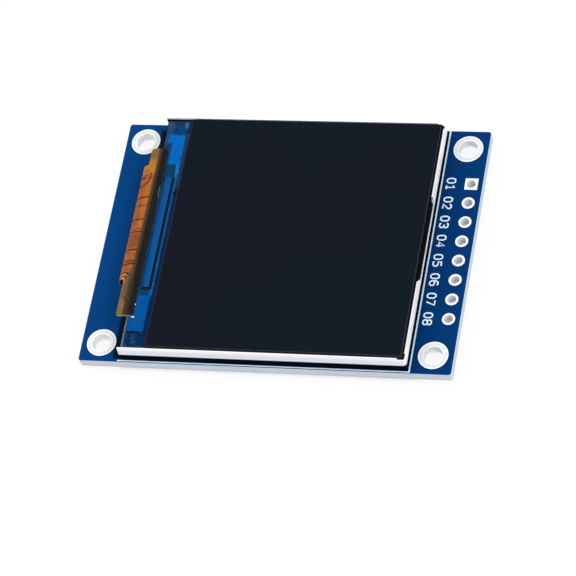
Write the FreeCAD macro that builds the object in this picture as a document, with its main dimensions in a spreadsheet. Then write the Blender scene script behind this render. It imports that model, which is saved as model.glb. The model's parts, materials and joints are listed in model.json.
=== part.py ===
import FreeCAD, Part

import math
import os

import Sketcher
from FreeCAD import Rotation, Vector

# Small colour display module with eight header holes, in millimetres.
# The origin is the centre of the four mounting holes on the board's underside.
# +X points to the header row, +Y to its first pin and +Z out of the screen.

# Driving sizes
SIZES = [
    # circuit board
    ("board_length", "43.72"),
    ("board_width", "32"),
    ("board_thickness", "1.2"),
    ("board_corner", "0.3"),
    ("mounting_inset_long", "2.36"),
    ("mounting_inset_wide", "2.4"),
    ("mounting_bore", "2.2"),
    ("mounting_land", "3.47"),
    ("plating", "0.05"),
    ("land_height", "0.04"),
    # header row
    ("pin_count", "8"),
    ("pin_pitch", "2.54"),
    ("pin_row_inset", "1.32"),
    ("pin_bore", "1"),
    ("pin_land", "1.5"),
    # display outline and its foam seat
    ("display_margin_flex", "5.2"),
    ("display_margin_pins", "4.84"),
    ("display_margin_side", "0.42"),
    ("display_shift", "-0.18"),
    ("foam_height", "1"),
    ("foam_inset", "0.12"),
    ("foam_overhang", "0.09"),
    # folded metal tray
    ("tray_gauge", "0.15"),
    ("tray_height", "1.78"),
    ("tray_corner", "0.42"),
    ("tray_bend", "0.3"),
    ("notch_place", "0.23"),
    ("notch_floor", "10.1"),
    ("notch_ramp_front", "0.8"),
    ("notch_ramp_back", "0.35"),
    ("notch_depth", "0.92"),
    ("relief_length", "0.85"),
    ("relief_depth", "0.34"),
    ("wall_end_slope", "0.15"),
    # moulded frame
    ("frame_fit", "0.02"),
    ("frame_open_end", "0.14"),
    ("frame_side_rail", "0.8"),
    ("frame_end_rail", "0.45"),
    ("frame_rim", "0.12"),
    ("frame_rim_height", "0.6"),
    ("frame_corner", "0.26"),
    # backlight layers
    ("film_fit", "0.08"),
    ("reflector_gauge", "0.06"),
    ("guide_thickness", "0.5"),
    ("diffuser_gauge", "0.06"),
    ("prism_gauge", "0.06"),
    ("tape_gauge", "0.05"),
    ("film_tab_length", "2.4"),
    ("film_tab_depth", "0.35"),
    # light source
    ("led_count", "3"),
    ("led_length", "3"),
    ("led_depth", "0.85"),
    ("led_height", "0.42"),
    ("led_lens_depth", "0.2"),
    ("led_lens_rim", "0.09"),
    ("led_strip_width", "2.2"),
    ("led_strip_gauge", "0.08"),
    ("led_row_gap", "0.06"),
    # glass cell
    ("glass_inset", "0.32"),
    ("glass_open_end", "0.4"),
    ("ledge_width", "2.96"),
    ("rear_polarizer_gauge", "0.13"),
    ("rear_polarizer_inset", "0.3"),
    ("array_glass_thickness", "0.3"),
    ("filter_glass_thickness", "0.3"),
    ("front_polarizer_gauge", "0.2"),
    ("front_polarizer_inset", "0.02"),
    ("window_border_flex", "0.59"),
    ("window_border_pins", "0.95"),
    ("window_border_side", "1.05"),
    ("glass_corner_cut", "0.35"),
    # driver chip and coating on the ledge
    ("chip_length", "14.8"),
    ("chip_width", "0.8"),
    ("chip_height", "0.28"),
    ("chip_inset", "1.12"),
    ("chip_shift", "-0.02"),
    ("coating_gauge", "0.04"),
    ("coating_inset", "0.14"),
    ("coating_fit", "0.1"),
    # bent flexible circuit
    ("flex_gauge", "0.1"),
    ("flex_bond", "0.66"),
    ("flex_reach", "0.49"),
    ("flex_bulge", "1.72"),
    ("flex_wide", "22.56"),
    ("flex_wide_shift", "0.1"),
    ("flex_tail", "15.4"),
    ("flex_tail_shift", "1.48"),
    ("flex_shoulder", "0.9"),
    ("flex_tail_length", "6.8"),
    ("flex_corner", "0.4"),
    ("flex_window_fit", "0.3"),
    # soldered lands under the flexible circuit
    ("flex_land_count", "12"),
    ("flex_land_pitch", "0.7"),
    ("flex_land_width", "0.4"),
    ("flex_land_length", "1.6"),
    # three-lead packages on the back
    ("package_length", "2.9"),
    ("package_width", "1.3"),
    ("package_height", "0.95"),
    ("package_standoff", "0.08"),
    ("package_draft", "7"),
    ("lead_width", "0.4"),
    ("lead_gauge", "0.12"),
    ("lead_span", "2.4"),
    ("lead_foot", "0.35"),
    ("lead_pitch", "0.95"),
    ("lead_height", "0.5"),
    # chip capacitors and resistors on the back
    ("passive_length", "1.6"),
    ("passive_width", "0.8"),
    ("passive_end", "0.3"),
    ("passive_end_wall", "0.03"),
    ("capacitor_height", "0.8"),
    ("resistor_height", "0.45"),
    ("passive_edge", "0.05"),
    ("land_overhang", "0.25"),
]

# How far a cut runs past the face that it opens
OVERRUN = 1.0

# Slope at which the arcs of the flexible circuit's bend meet, from a 3-4-5 triangle
ARC_RUN = 0.6
ARC_RISE = 0.8

# Places of the back parts, from the origin: name, long way, cross way
PACKAGES = [("regulator", 10.0, 6.4, 90.0), ("backlight_transistor", 10.0, -6.6, 90.0)]
CAPACITORS = [
    ("capacitor_1", 13.6, 6.4, 90.0),
    ("capacitor_2", 6.6, 6.4, 90.0),
    ("capacitor_3", -9.6, 6.2, 0.0),
    ("capacitor_4", -9.6, -4.4, 0.0),
]
RESISTORS = [
    ("resistor_1", 13.4, -6.6, 90.0),
    ("resistor_2", 6.8, -6.6, 90.0),
    ("resistor_3", 13.4, -3.2, 90.0),
]

doc = FreeCAD.newDocument("display_module")
sheet = doc.addObject("Spreadsheet::Sheet", "sizes")
for row, (alias, number) in enumerate(SIZES, start=1):
    sheet.set(f"A{row}", alias)
    sheet.set(f"B{row}", number)
    sheet.setAlias(f"B{row}", alias)
doc.recompute()


class Size:
    """A length that keeps the sheet expression it is worked out from."""

    def __init__(self, value, text):
        self.value = value
        self.text = text

    def __add__(self, other):
        other = as_size(other)
        return Size(self.value + other.value, f"({self.text} + {other.text})")

    def __radd__(self, other):
        return as_size(other) + self

    def __sub__(self, other):
        other = as_size(other)
        return Size(self.value - other.value, f"({self.text} - {other.text})")

    def __rsub__(self, other):
        return as_size(other) - self

    def __mul__(self, other):
        other = as_size(other)
        return Size(self.value * other.value, f"({self.text} * {other.text})")

    def __rmul__(self, other):
        return as_size(other) * self

    def __truediv__(self, other):
        other = as_size(other)
        return Size(self.value / other.value, f"({self.text} / {other.text})")

    def __neg__(self):
        return Size(-self.value, f"(-{self.text})")


def as_size(number):
    """A plain number as a Size, or the Size itself."""
    if isinstance(number, Size):
        return number
    return Size(float(number), repr(float(number)))


def size(alias):
    """The sheet's value under this alias."""
    return Size(float(sheet.get(alias)), f"sizes.{alias}")


def bind(thing, path, number):
    """Tie a property or constraint to the sheet."""
    thing.setExpression(path, as_size(number).text)


# Features that the sub-parts are made of

def new_body(label, place_x=0, place_y=0, place_z=0, turn=None):
    """An empty body with its own label, placed from the sheet."""
    body = doc.addObject("PartDesign::Body", label)
    body.Label = label
    place = [as_size(place_x), as_size(place_y), as_size(place_z)]
    body.Placement.Base = Vector(*[number.value for number in place])
    if turn:
        body.Placement.Rotation = turn
    for axis, number in zip("xyz", place):
        bind(body, f"Placement.Base.{axis}", number)
    return body


def origin_feature(body, role):
    """The body's own origin plane or axis with this role."""
    return next(part for part in body.Origin.OriginFeatures if part.Role == role)


def new_sketch(body, name, role="XY_Plane", lift=0):
    """A sketch on one of the body's origin planes, lifted along its normal."""
    sketch = body.newObject("Sketcher::SketchObject", name)
    sketch.AttachmentSupport = [(origin_feature(body, role), "")]
    sketch.MapMode = "FlatFace"
    bind(sketch, "AttachmentOffset.Base.z", lift)
    return sketch


def locate(sketch, geometry, point, place_x, place_y):
    """Fix one point of a sketch from the sketch's origin."""
    for kind, number in (("DistanceX", as_size(place_x)), ("DistanceY", as_size(place_y))):
        if number.value == 0:
            axis = -2 if kind == "DistanceX" else -1
            sketch.addConstraint(Sketcher.Constraint("PointOnObject", geometry, point, axis))
        else:
            index = sketch.addConstraint(
                Sketcher.Constraint(kind, -1, 1, geometry, point, number.value))
            bind(sketch, f"Constraints[{index}]", number)


def draw_outline(sketch, corners, bends=None):
    """A closed outline through corners placed from the sheet.

    An edge listed in bends is an arc to the next corner, given as the place of its
    centre and 1 for anticlockwise or -1 for clockwise.
    """
    bends = bends or {}
    points = [Vector(as_size(x).value, as_size(y).value, 0) for x, y in corners]
    edges = []
    for index, (start, end) in enumerate(zip(points, points[1:] + points[:1])):
        if index not in bends:
            edges.append((sketch.addGeometry(Part.LineSegment(start, end)), 1, 2))
            continue
        centre_x, centre_y, sense = bends[index]
        centre = Vector(as_size(centre_x).value, as_size(centre_y).value, 0)
        first, last = (start, end) if sense > 0 else (end, start)
        begin = math.atan2(first.y - centre.y, first.x - centre.x)
        finish = math.atan2(last.y - centre.y, last.x - centre.x)
        if finish < begin:
            finish += 2 * math.pi
        circle = Part.Circle(centre, Vector(0, 0, 1), (start - centre).Length)
        arc = sketch.addGeometry(Part.ArcOfCircle(circle, begin, finish))
        edges.append((arc, 1, 2) if sense > 0 else (arc, 2, 1))
        middle = sketch.addConstraint(Sketcher.Constraint("DistanceX", -1, 1, arc, 3, centre.x))
        bind(sketch, f"Constraints[{middle}]", centre_x)
    for (edge, _, finish), (following, begin, _) in zip(edges, edges[1:] + edges[:1]):
        sketch.addConstraint(Sketcher.Constraint("Coincident", edge, finish, following, begin))
    for (edge, begin, _), (x, y) in zip(edges, corners):
        locate(sketch, edge, begin, x, y)


def draw_rectangle(sketch, left, right, low, high):
    """A rectangle between two lines each way."""
    draw_outline(sketch, [(left, low), (right, low), (right, high), (left, high)])


def draw_circle(sketch, place_x, place_y, diameter):
    """A circle of a given diameter, placed from the sheet."""
    centre = Vector(as_size(place_x).value, as_size(place_y).value, 0)
    round_edge = Part.Circle(centre, Vector(0, 0, 1), as_size(diameter).value / 2)
    circle = sketch.addGeometry(round_edge)
    locate(sketch, circle, 3, place_x, place_y)
    index = sketch.addConstraint(Sketcher.Constraint("Diameter", circle, as_size(diameter).value))
    bind(sketch, f"Constraints[{index}]", diameter)


def add_pad(body, sketch, height, downward=False, both_ways=False, draft=None):
    """Material from a sketch, up by default."""
    pad = body.newObject("PartDesign::Pad", f"{sketch.Name}_pad")
    pad.Profile = sketch
    bind(pad, "Length", height)
    pad.Reversed = downward
    if both_ways:
        pad.SideType = "Symmetric"
    if draft:
        pad.TaperAngle = -draft.value
        bind(pad, "TaperAngle", -draft)
    doc.recompute()
    return pad


def add_pocket(body, sketch, depth=None, upward=False, both_ways=False):
    """Material taken out below the sketch, or right through with no depth."""
    before = body.Shape.Volume
    pocket = body.newObject("PartDesign::Pocket", f"{sketch.Name}_pocket")
    pocket.Profile = sketch
    pocket.Reversed = upward
    if depth is None:
        pocket.Type = "ThroughAll"
    else:
        bind(pocket, "Length", depth)
    if both_ways:
        pocket.SideType = "Symmetric"
    doc.recompute()
    if not pocket.Shape.Volume < before:
        raise ValueError(f"{sketch.Name} in {body.Label} cuts nothing")
    return pocket


def add_revolution(body, sketch):
    """A profile in the XZ plane turned once round the body's Z axis."""
    turned = body.newObject("PartDesign::Revolution", f"{sketch.Name}_turned")
    turned.Profile = sketch
    turned.ReferenceAxis = (origin_feature(body, "Z_Axis"), [""])
    turned.Angle = 360
    doc.recompute()
    return turned


def add_row(body, feature, role, count, length):
    """A row of copies of one feature along an origin axis, the first at the feature."""
    row = body.newObject("PartDesign::LinearPattern", f"{feature.Name}_row")
    row.Originals = [feature]
    row.Direction = (origin_feature(body, role), [""])
    bind(row, "Occurrences", count)
    bind(row, "Length", length)
    body.Tip = row
    doc.recompute()
    return row


def edges_that(shape, test):
    """Names of a shape's edges whose two ends pass a test."""
    names = []
    for index, edge in enumerate(shape.Edges, start=1):
        if test(edge.Vertexes[0].Point, edge.Vertexes[-1].Point, edge):
            names.append(f"Edge{index}")
    return names


def upright(start, end, edge):
    """Whether an edge stands along Z."""
    return abs(start.x - end.x) + abs(start.y - end.y) < 1e-6 and abs(start.z - end.z) > 1e-6


def right_corners(feature):
    """The upright edges on the header side of a feature."""
    return edges_that(feature.Shape, lambda start, end, edge: upright(start, end, edge) and start.x > 0)


def add_fillet(body, feature, names, radius):
    """Round the named edges of a feature."""
    fillet = body.newObject("PartDesign::Fillet", f"{feature.Name}_round")
    fillet.Base = (feature, names)
    bind(fillet, "Radius", radius)
    doc.recompute()
    return fillet


def add_chamfer(body, feature, names, width):
    """Bevel the named edges of a feature."""
    chamfer = body.newObject("PartDesign::Chamfer", f"{feature.Name}_bevel")
    chamfer.Base = (feature, names)
    bind(chamfer, "Size", width)
    doc.recompute()
    return chamfer


def add_slab(label, left, right, half_width, bottom, thickness, corner=None):
    """A flat sheet between two X places, centred across the display."""
    body = new_body(label, place_y=display_place, place_z=bottom)
    outline = new_sketch(body, f"{label}_outline")
    draw_rectangle(outline, left, right, -half_width, half_width)
    feature = add_pad(body, outline, thickness)
    if corner is not None:
        add_fillet(body, feature, edges_that(feature.Shape, upright), corner)
    return body


# Heights of the stack above the board's underside
board_top = size("board_thickness")
tray_bottom = board_top + size("foam_height")
tray_floor = tray_bottom + size("tray_gauge")
guide_bottom = tray_floor + size("reflector_gauge")
diffuser_bottom = guide_bottom + size("guide_thickness")
prism_bottom = diffuser_bottom + size("diffuser_gauge")
tape_bottom = prism_bottom + size("prism_gauge") * 2
rear_polarizer_bottom = tape_bottom + size("tape_gauge")
array_bottom = rear_polarizer_bottom + size("rear_polarizer_gauge")
ledge_top = array_bottom + size("array_glass_thickness")
front_polarizer_bottom = ledge_top + size("filter_glass_thickness")

# Edges of the display in the plane of the board
board_half_long = size("board_length") / 2
board_half_wide = size("board_width") / 2
display_left = size("display_margin_flex") - board_half_long
display_right = board_half_long - size("display_margin_pins")
display_side = board_half_wide - size("display_margin_side")
display_place = size("display_shift")
frame_left = display_left + size("frame_open_end")
frame_right = display_right - size("tray_gauge") - size("frame_fit")
frame_side = display_side - size("tray_gauge") - size("frame_fit")
well_left = frame_left + size("frame_end_rail")
well_right = frame_right - size("frame_side_rail")
well_side = frame_side - size("frame_side_rail")
glass_left = display_left + size("glass_open_end")
glass_right = display_right - size("glass_inset")
glass_side = display_side - size("glass_inset")
ledge_right = glass_left + size("ledge_width")
window_left = ledge_right + size("window_border_flex")
window_right = glass_right - size("window_border_pins")
window_side = glass_side - size("window_border_side")
tab_place = (window_left + window_right) / 2
strip_left = well_left + size("film_fit")
strip_right = strip_left + size("led_strip_width")
guide_left = strip_right + size("led_row_gap")
guide_right = well_right - size("film_fit")
guide_side = well_side - size("film_fit")
bond_right = glass_left + size("flex_bond")
bend_place = glass_left - size("flex_reach")
pin_row_place = board_half_long - size("pin_row_inset")
pin_row_half = size("pin_pitch") * (size("pin_count") - 1) / 2


def mounting_places():
    """The four corners of the mounting pattern."""
    half_long = board_half_long - size("mounting_inset_long")
    half_wide = board_half_wide - size("mounting_inset_wide")
    return [(half_long * a, half_wide * b) for a, b in ((-1, 1), (1, 1), (1, -1), (-1, -1))]


# Circuit board and its plated holes

def make_board():
    """Board with rounded corners, four mounting holes and a row of header holes."""
    body = new_body("board")
    outline = new_sketch(body, "board_outline")
    draw_rectangle(outline, -board_half_long, board_half_long, -board_half_wide, board_half_wide)
    slab = add_pad(body, outline, board_top)
    add_fillet(body, slab, edges_that(slab.Shape, upright), size("board_corner"))

    mounting = new_sketch(body, "mounting_holes", lift=board_top)
    for place_x, place_y in mounting_places():
        draw_circle(mounting, place_x, place_y, size("mounting_bore") + size("plating") * 2)
    add_pocket(body, mounting)

    header = new_sketch(body, "header_hole", lift=board_top)
    draw_circle(header, pin_row_place, -pin_row_half, size("pin_bore") + size("plating") * 2)
    hole = add_pocket(body, header)
    add_row(body, hole, "Y_Axis", size("pin_count"), pin_row_half * 2)
    return body


def make_plated_hole(label, place_x, place_y, bore, land):
    """Plated barrel with a round land on each face of the board."""
    body = new_body(label, place_x, place_y)
    profile = new_sketch(body, f"{label}_profile", "XZ_Plane")
    inner = bore / 2
    barrel = inner + size("plating")
    outer = land / 2
    low = -size("land_height")
    high = board_top + size("land_height")
    draw_outline(profile, [
        (inner, low), (outer, low), (outer, 0), (barrel, 0),
        (barrel, board_top), (outer, board_top), (outer, high), (inner, high),
    ])
    add_revolution(body, profile)
    return body


def make_first_pin(label, place_x, place_y, bore, land):
    """Plated barrel of the first pin, with square lands."""
    body = new_body(label, place_x, place_y)
    barrel = new_sketch(body, f"{label}_barrel")
    draw_circle(barrel, 0, 0, bore + size("plating") * 2)
    add_pad(body, barrel, board_top)
    for side, height in (("lower", 0), ("upper", board_top)):
        square = new_sketch(body, f"{label}_{side}", lift=height)
        draw_rectangle(square, -land / 2, land / 2, -land / 2, land / 2)
        add_pad(body, square, size("land_height"), downward=side == "lower")
    hole = new_sketch(body, f"{label}_bore")
    draw_circle(hole, 0, 0, bore)
    add_pocket(body, hole, (board_top + size("land_height")) * 2 + OVERRUN, both_ways=True)
    return body


def make_header_places():
    """The header row, first pin at the back edge of the board."""
    for pin in range(int(size("pin_count").value)):
        place_y = pin_row_half - size("pin_pitch") * pin
        make = make_plated_hole if pin else make_first_pin
        make(f"header_pad_{pin + 1}", pin_row_place, place_y, size("pin_bore"), size("pin_land"))


def make_flex_lands():
    """Row of soldered lands that carries the end of the flexible circuit."""
    row_half = size("flex_land_pitch") * (size("flex_land_count") - 1) / 2
    right = bend_place + size("flex_tail_length")
    place_y = display_place + size("flex_tail_shift") - row_half
    body = new_body("flex_lands", place_y=place_y, place_z=board_top)
    body.AllowCompound = True
    outline = new_sketch(body, "flex_land")
    half = size("flex_land_width") / 2
    draw_rectangle(outline, right - size("flex_land_length"), right, -half, half)
    land = add_pad(body, outline, size("land_height"))
    add_row(body, land, "Y_Axis", size("flex_land_count"), row_half * 2)
    return body


# Foam seat, folded tray and moulded frame

def make_foam():
    """Foam seat with a window for the flexible circuit, open to its side."""
    body = new_body("foam_seat", place_y=display_place, place_z=board_top)
    left = display_left - size("foam_overhang")
    side = display_side - size("foam_inset")
    outline = new_sketch(body, "foam_outline")
    draw_rectangle(outline, left, display_right - size("foam_inset"), -side, side)
    add_pad(body, outline, size("foam_height"))
    window = new_sketch(body, "foam_window")
    low = size("flex_tail_shift") - size("flex_tail") / 2 - size("flex_window_fit")
    high = size("flex_tail_shift") + size("flex_tail") / 2 + size("flex_window_fit")
    reach = bend_place + size("flex_tail_length") + size("flex_window_fit")
    draw_rectangle(window, left - OVERRUN, reach, low, high)
    add_pocket(body, window, upward=True)
    return body


def make_tray():
    """Folded sheet tray: a floor and three walls, with bends, a notch and corner reliefs."""
    body = new_body("backlight_tray", place_y=display_place, place_z=tray_bottom)
    outline = new_sketch(body, "tray_outline")
    draw_rectangle(outline, display_left, display_right, -display_side, display_side)
    block = add_pad(body, outline, size("tray_height"))
    rounded = add_fillet(body, block, right_corners(block), size("tray_corner"))

    def along_fold(start, end, edge):
        at_left = abs(start.x - display_left.value) + abs(end.x - display_left.value) < 1e-6
        return abs(start.z) + abs(end.z) < 1e-6 and not at_left

    folded = add_fillet(body, rounded, edges_that(rounded.Shape, along_fold), size("tray_bend"))
    open_faces = []
    for index, face in enumerate(folded.Shape.Faces, start=1):
        centre = face.CenterOfMass
        on_top = abs(centre.z - size("tray_height").value) < 1e-6
        if on_top or abs(centre.x - display_left.value) < 1e-6:
            open_faces.append(f"Face{index}")
    sheet_metal = body.newObject("PartDesign::Thickness", "tray_shell")
    sheet_metal.Base = (folded, open_faces)
    sheet_metal.Reversed = True
    bind(sheet_metal, "Value", size("tray_gauge"))
    doc.recompute()

    notch = new_sketch(body, "side_notch", "YZ_Plane", lift=display_right - size("tray_corner"))
    half = size("notch_floor") / 2
    front = size("notch_place") - half
    back = size("notch_place") + half
    top = size("tray_height")
    floor = top - size("notch_depth")
    draw_outline(notch, [
        (front, floor), (back, floor), (back + size("notch_ramp_back"), top),
        (back + size("notch_ramp_back"), top + OVERRUN), (front - size("notch_ramp_front"), top + OVERRUN),
        (front - size("notch_ramp_front"), top),
    ])
    add_pocket(body, notch, upward=True)

    reliefs = new_sketch(body, "corner_reliefs", lift=size("tray_height"))
    inner = display_right - size("relief_length")
    for sign in (-1, 1):
        near = (display_side - size("relief_length")) * sign
        far = (display_side + OVERRUN) * sign
        low, high = (near, far) if sign > 0 else (far, near)
        draw_rectangle(reliefs, inner, display_right + OVERRUN, low, high)
    add_pocket(body, reliefs, size("relief_depth"))

    slopes = new_sketch(body, "wall_end_slopes", "XZ_Plane")
    fold = size("tray_bend")
    draw_outline(slopes, [
        (display_left - OVERRUN, fold), (display_left, fold),
        (display_left + size("wall_end_slope"), top), (display_left - OVERRUN, top),
    ])
    add_pocket(body, slopes, (display_side + OVERRUN) * 2, both_ways=True)
    return body


def make_frame():
    """Moulded frame: rails round the backlight layers and a rim beside the glass."""
    body = new_body("moulded_frame", place_y=display_place, place_z=tray_floor)
    seat = tape_bottom - tray_floor
    outline = new_sketch(body, "frame_outline")
    draw_rectangle(outline, frame_left, frame_right, -frame_side, frame_side)
    block = add_pad(body, outline, seat + size("frame_rim_height"))
    rounded = add_fillet(body, block, right_corners(block), size("frame_corner"))

    def in_the_bends(start, end, edge):
        at_left = abs(start.x - frame_left.value) + abs(end.x - frame_left.value) < 1e-6
        return abs(start.z) + abs(end.z) < 1e-6 and not at_left

    inner_bend = size("tray_bend") - size("tray_gauge")
    add_fillet(body, rounded, edges_that(rounded.Shape, in_the_bends), inner_bend)

    shelf = new_sketch(body, "glass_shelf", lift=seat + size("frame_rim_height"))
    inner = frame_side - size("frame_rim")
    draw_rectangle(shelf, frame_left - OVERRUN, frame_right - size("frame_rim"), -inner, inner)
    add_pocket(body, shelf, size("frame_rim_height"))

    well = new_sketch(body, "layer_well", lift=seat)
    draw_rectangle(well, well_left, well_right, -well_side, well_side)
    add_pocket(body, well, seat * 2)

    tabs = new_sketch(body, "film_tab_slots", lift=seat)
    half = size("film_tab_length") / 2 + size("film_fit")
    depth = size("film_tab_depth") + size("film_fit")
    centre = tab_place
    for sign in (-1, 1):
        inside = (well_side - size("film_fit")) * sign
        outside = (well_side + depth - size("film_fit")) * sign
        low, high = (inside, outside) if sign > 0 else (outside, inside)
        draw_rectangle(tabs, centre - half, centre + half, low, high)
    add_pocket(body, tabs, tape_bottom - diffuser_bottom)
    return body


# Backlight layers

def make_film(label, bottom, gauge):
    """Optical film over the light guide, with a locating tab on each long side."""
    body = new_body(label, place_y=display_place, place_z=bottom)
    outline = new_sketch(body, f"{label}_outline")
    centre = tab_place
    half = size("film_tab_length") / 2
    side = guide_side
    tab = guide_side + size("film_tab_depth")
    draw_outline(outline, [
        (guide_left, -side), (centre - half, -side), (centre - half, -tab), (centre + half, -tab),
        (centre + half, -side), (guide_right, -side), (guide_right, side), (centre + half, side),
        (centre + half, tab), (centre - half, tab), (centre - half, side), (guide_left, side),
    ])
    add_pad(body, outline, gauge)
    return body


def make_backlight_layers():
    """Reflector, light guide and the three films above it."""
    add_slab("reflector_film", guide_left, guide_right, guide_side, tray_floor, size("reflector_gauge"))
    add_slab("light_guide", guide_left, guide_right, guide_side, guide_bottom, size("guide_thickness"))
    make_film("diffuser_film", diffuser_bottom, size("diffuser_gauge"))
    make_film("lower_prism_film", prism_bottom, size("prism_gauge"))
    make_film("upper_prism_film", prism_bottom + size("prism_gauge"), size("prism_gauge"))


def make_rim_tape():
    """Black tape that masks the edge of the light and carries the glass."""
    body = new_body("rim_tape", place_y=display_place, place_z=tape_bottom)
    right = frame_right - size("frame_rim") - size("frame_fit")
    side = frame_side - size("frame_rim") - size("frame_fit")
    outline = new_sketch(body, "tape_outline")
    draw_rectangle(outline, frame_left, right, -side, side)
    add_pad(body, outline, size("tape_gauge"))
    window = new_sketch(body, "tape_window")
    draw_rectangle(window, window_left, window_right, -window_side, window_side)
    add_pocket(body, window, upward=True)
    return body


def make_light_source():
    """Strip with a row of side-emitting lamps that face the light guide."""
    pitch = guide_side * 2 / size("led_count")
    row_half = pitch * (size("led_count") - 1) / 2
    strip_side = row_half + size("led_length")
    add_slab("led_strip", strip_left, strip_right, strip_side, tray_floor, size("led_strip_gauge"))
    left = strip_right - size("led_depth")
    for lamp in range(int(size("led_count").value)):
        place_y = display_place + row_half - pitch * lamp
        body = new_body(f"led_{lamp + 1}", place_y=place_y, place_z=tray_floor + size("led_strip_gauge"))
        outline = new_sketch(body, f"led_outline_{lamp + 1}")
        half = size("led_length") / 2
        draw_rectangle(outline, left, strip_right, -half, half)
        add_pad(body, outline, size("led_height"))
        lens = new_sketch(body, f"led_lens_{lamp + 1}", "YZ_Plane", lift=strip_right)
        rim = size("led_lens_rim")
        draw_outline(lens, [
            (-half + rim * 2, rim), (half - rim * 2, rim),
            (half - rim * 3, size("led_height") - rim), (-half + rim * 3, size("led_height") - rim),
        ])
        add_pocket(body, lens, size("led_lens_depth"))


# Glass cell

def make_glass_cell():
    """Rear polarizer, two glass plates that leave a ledge, and the front polarizer."""
    inset = size("rear_polarizer_inset")
    add_slab("rear_polarizer", glass_left + inset, glass_right - inset, glass_side - inset,
             rear_polarizer_bottom, size("rear_polarizer_gauge"))
    add_slab("array_glass", glass_left, glass_right, glass_side, array_bottom,
             size("array_glass_thickness"))

    plate = new_body("filter_glass", place_y=display_place, place_z=ledge_top)
    outline = new_sketch(plate, "filter_outline")
    cut = size("glass_corner_cut")
    draw_outline(outline, [
        (ledge_right, -glass_side), (glass_right, -glass_side), (glass_right, glass_side),
        (ledge_right + cut, glass_side), (ledge_right, glass_side - cut),
    ])
    add_pad(plate, outline, size("filter_glass_thickness"))

    front = new_body("front_polarizer", place_y=display_place, place_z=front_polarizer_bottom)
    outline = new_sketch(front, "front_outline")
    inset = size("front_polarizer_inset")
    side = glass_side - inset
    left = ledge_right + inset
    draw_outline(outline, [
        (left, -side), (glass_right - inset, -side), (glass_right - inset, side),
        (left + cut, side), (left, side - cut),
    ])
    add_pad(front, outline, size("front_polarizer_gauge"))


def make_driver_chip():
    """Long driver chip bonded on the glass ledge."""
    left = glass_left + size("chip_inset")
    body = new_body("driver_chip", place_y=display_place + size("chip_shift"), place_z=ledge_top)
    outline = new_sketch(body, "chip_outline")
    half = size("chip_length") / 2
    draw_rectangle(outline, left, left + size("chip_width"), -half, half)
    add_pad(body, outline, size("chip_height"))
    return body


def make_ledge_coating():
    """Protective coating on the ledge, open round the chip and under the flexible circuit."""
    body = new_body("ledge_coating", place_y=display_place, place_z=ledge_top)
    left = glass_left + size("coating_inset")
    right = ledge_right - size("coating_inset")
    side = glass_side - size("coating_inset")
    fit = size("coating_fit")
    outline = new_sketch(body, "coating_outline")
    draw_rectangle(outline, left, right, -side, side)
    add_pad(body, outline, size("coating_gauge"))

    chip = new_sketch(body, "chip_window")
    chip_left = glass_left + size("chip_inset")
    half = size("chip_length") / 2 + fit
    draw_rectangle(chip, chip_left - fit, chip_left + size("chip_width") + fit,
                   size("chip_shift") - half, size("chip_shift") + half)
    add_pocket(body, chip, upward=True)

    bond = new_sketch(body, "bond_window")
    half = size("flex_wide") / 2 + fit
    draw_rectangle(bond, left - OVERRUN, bond_right + fit,
                   size("flex_wide_shift") - half, size("flex_wide_shift") + half)
    add_pocket(body, bond, upward=True)
    return body


# Flexible circuit, bent under the display

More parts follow.
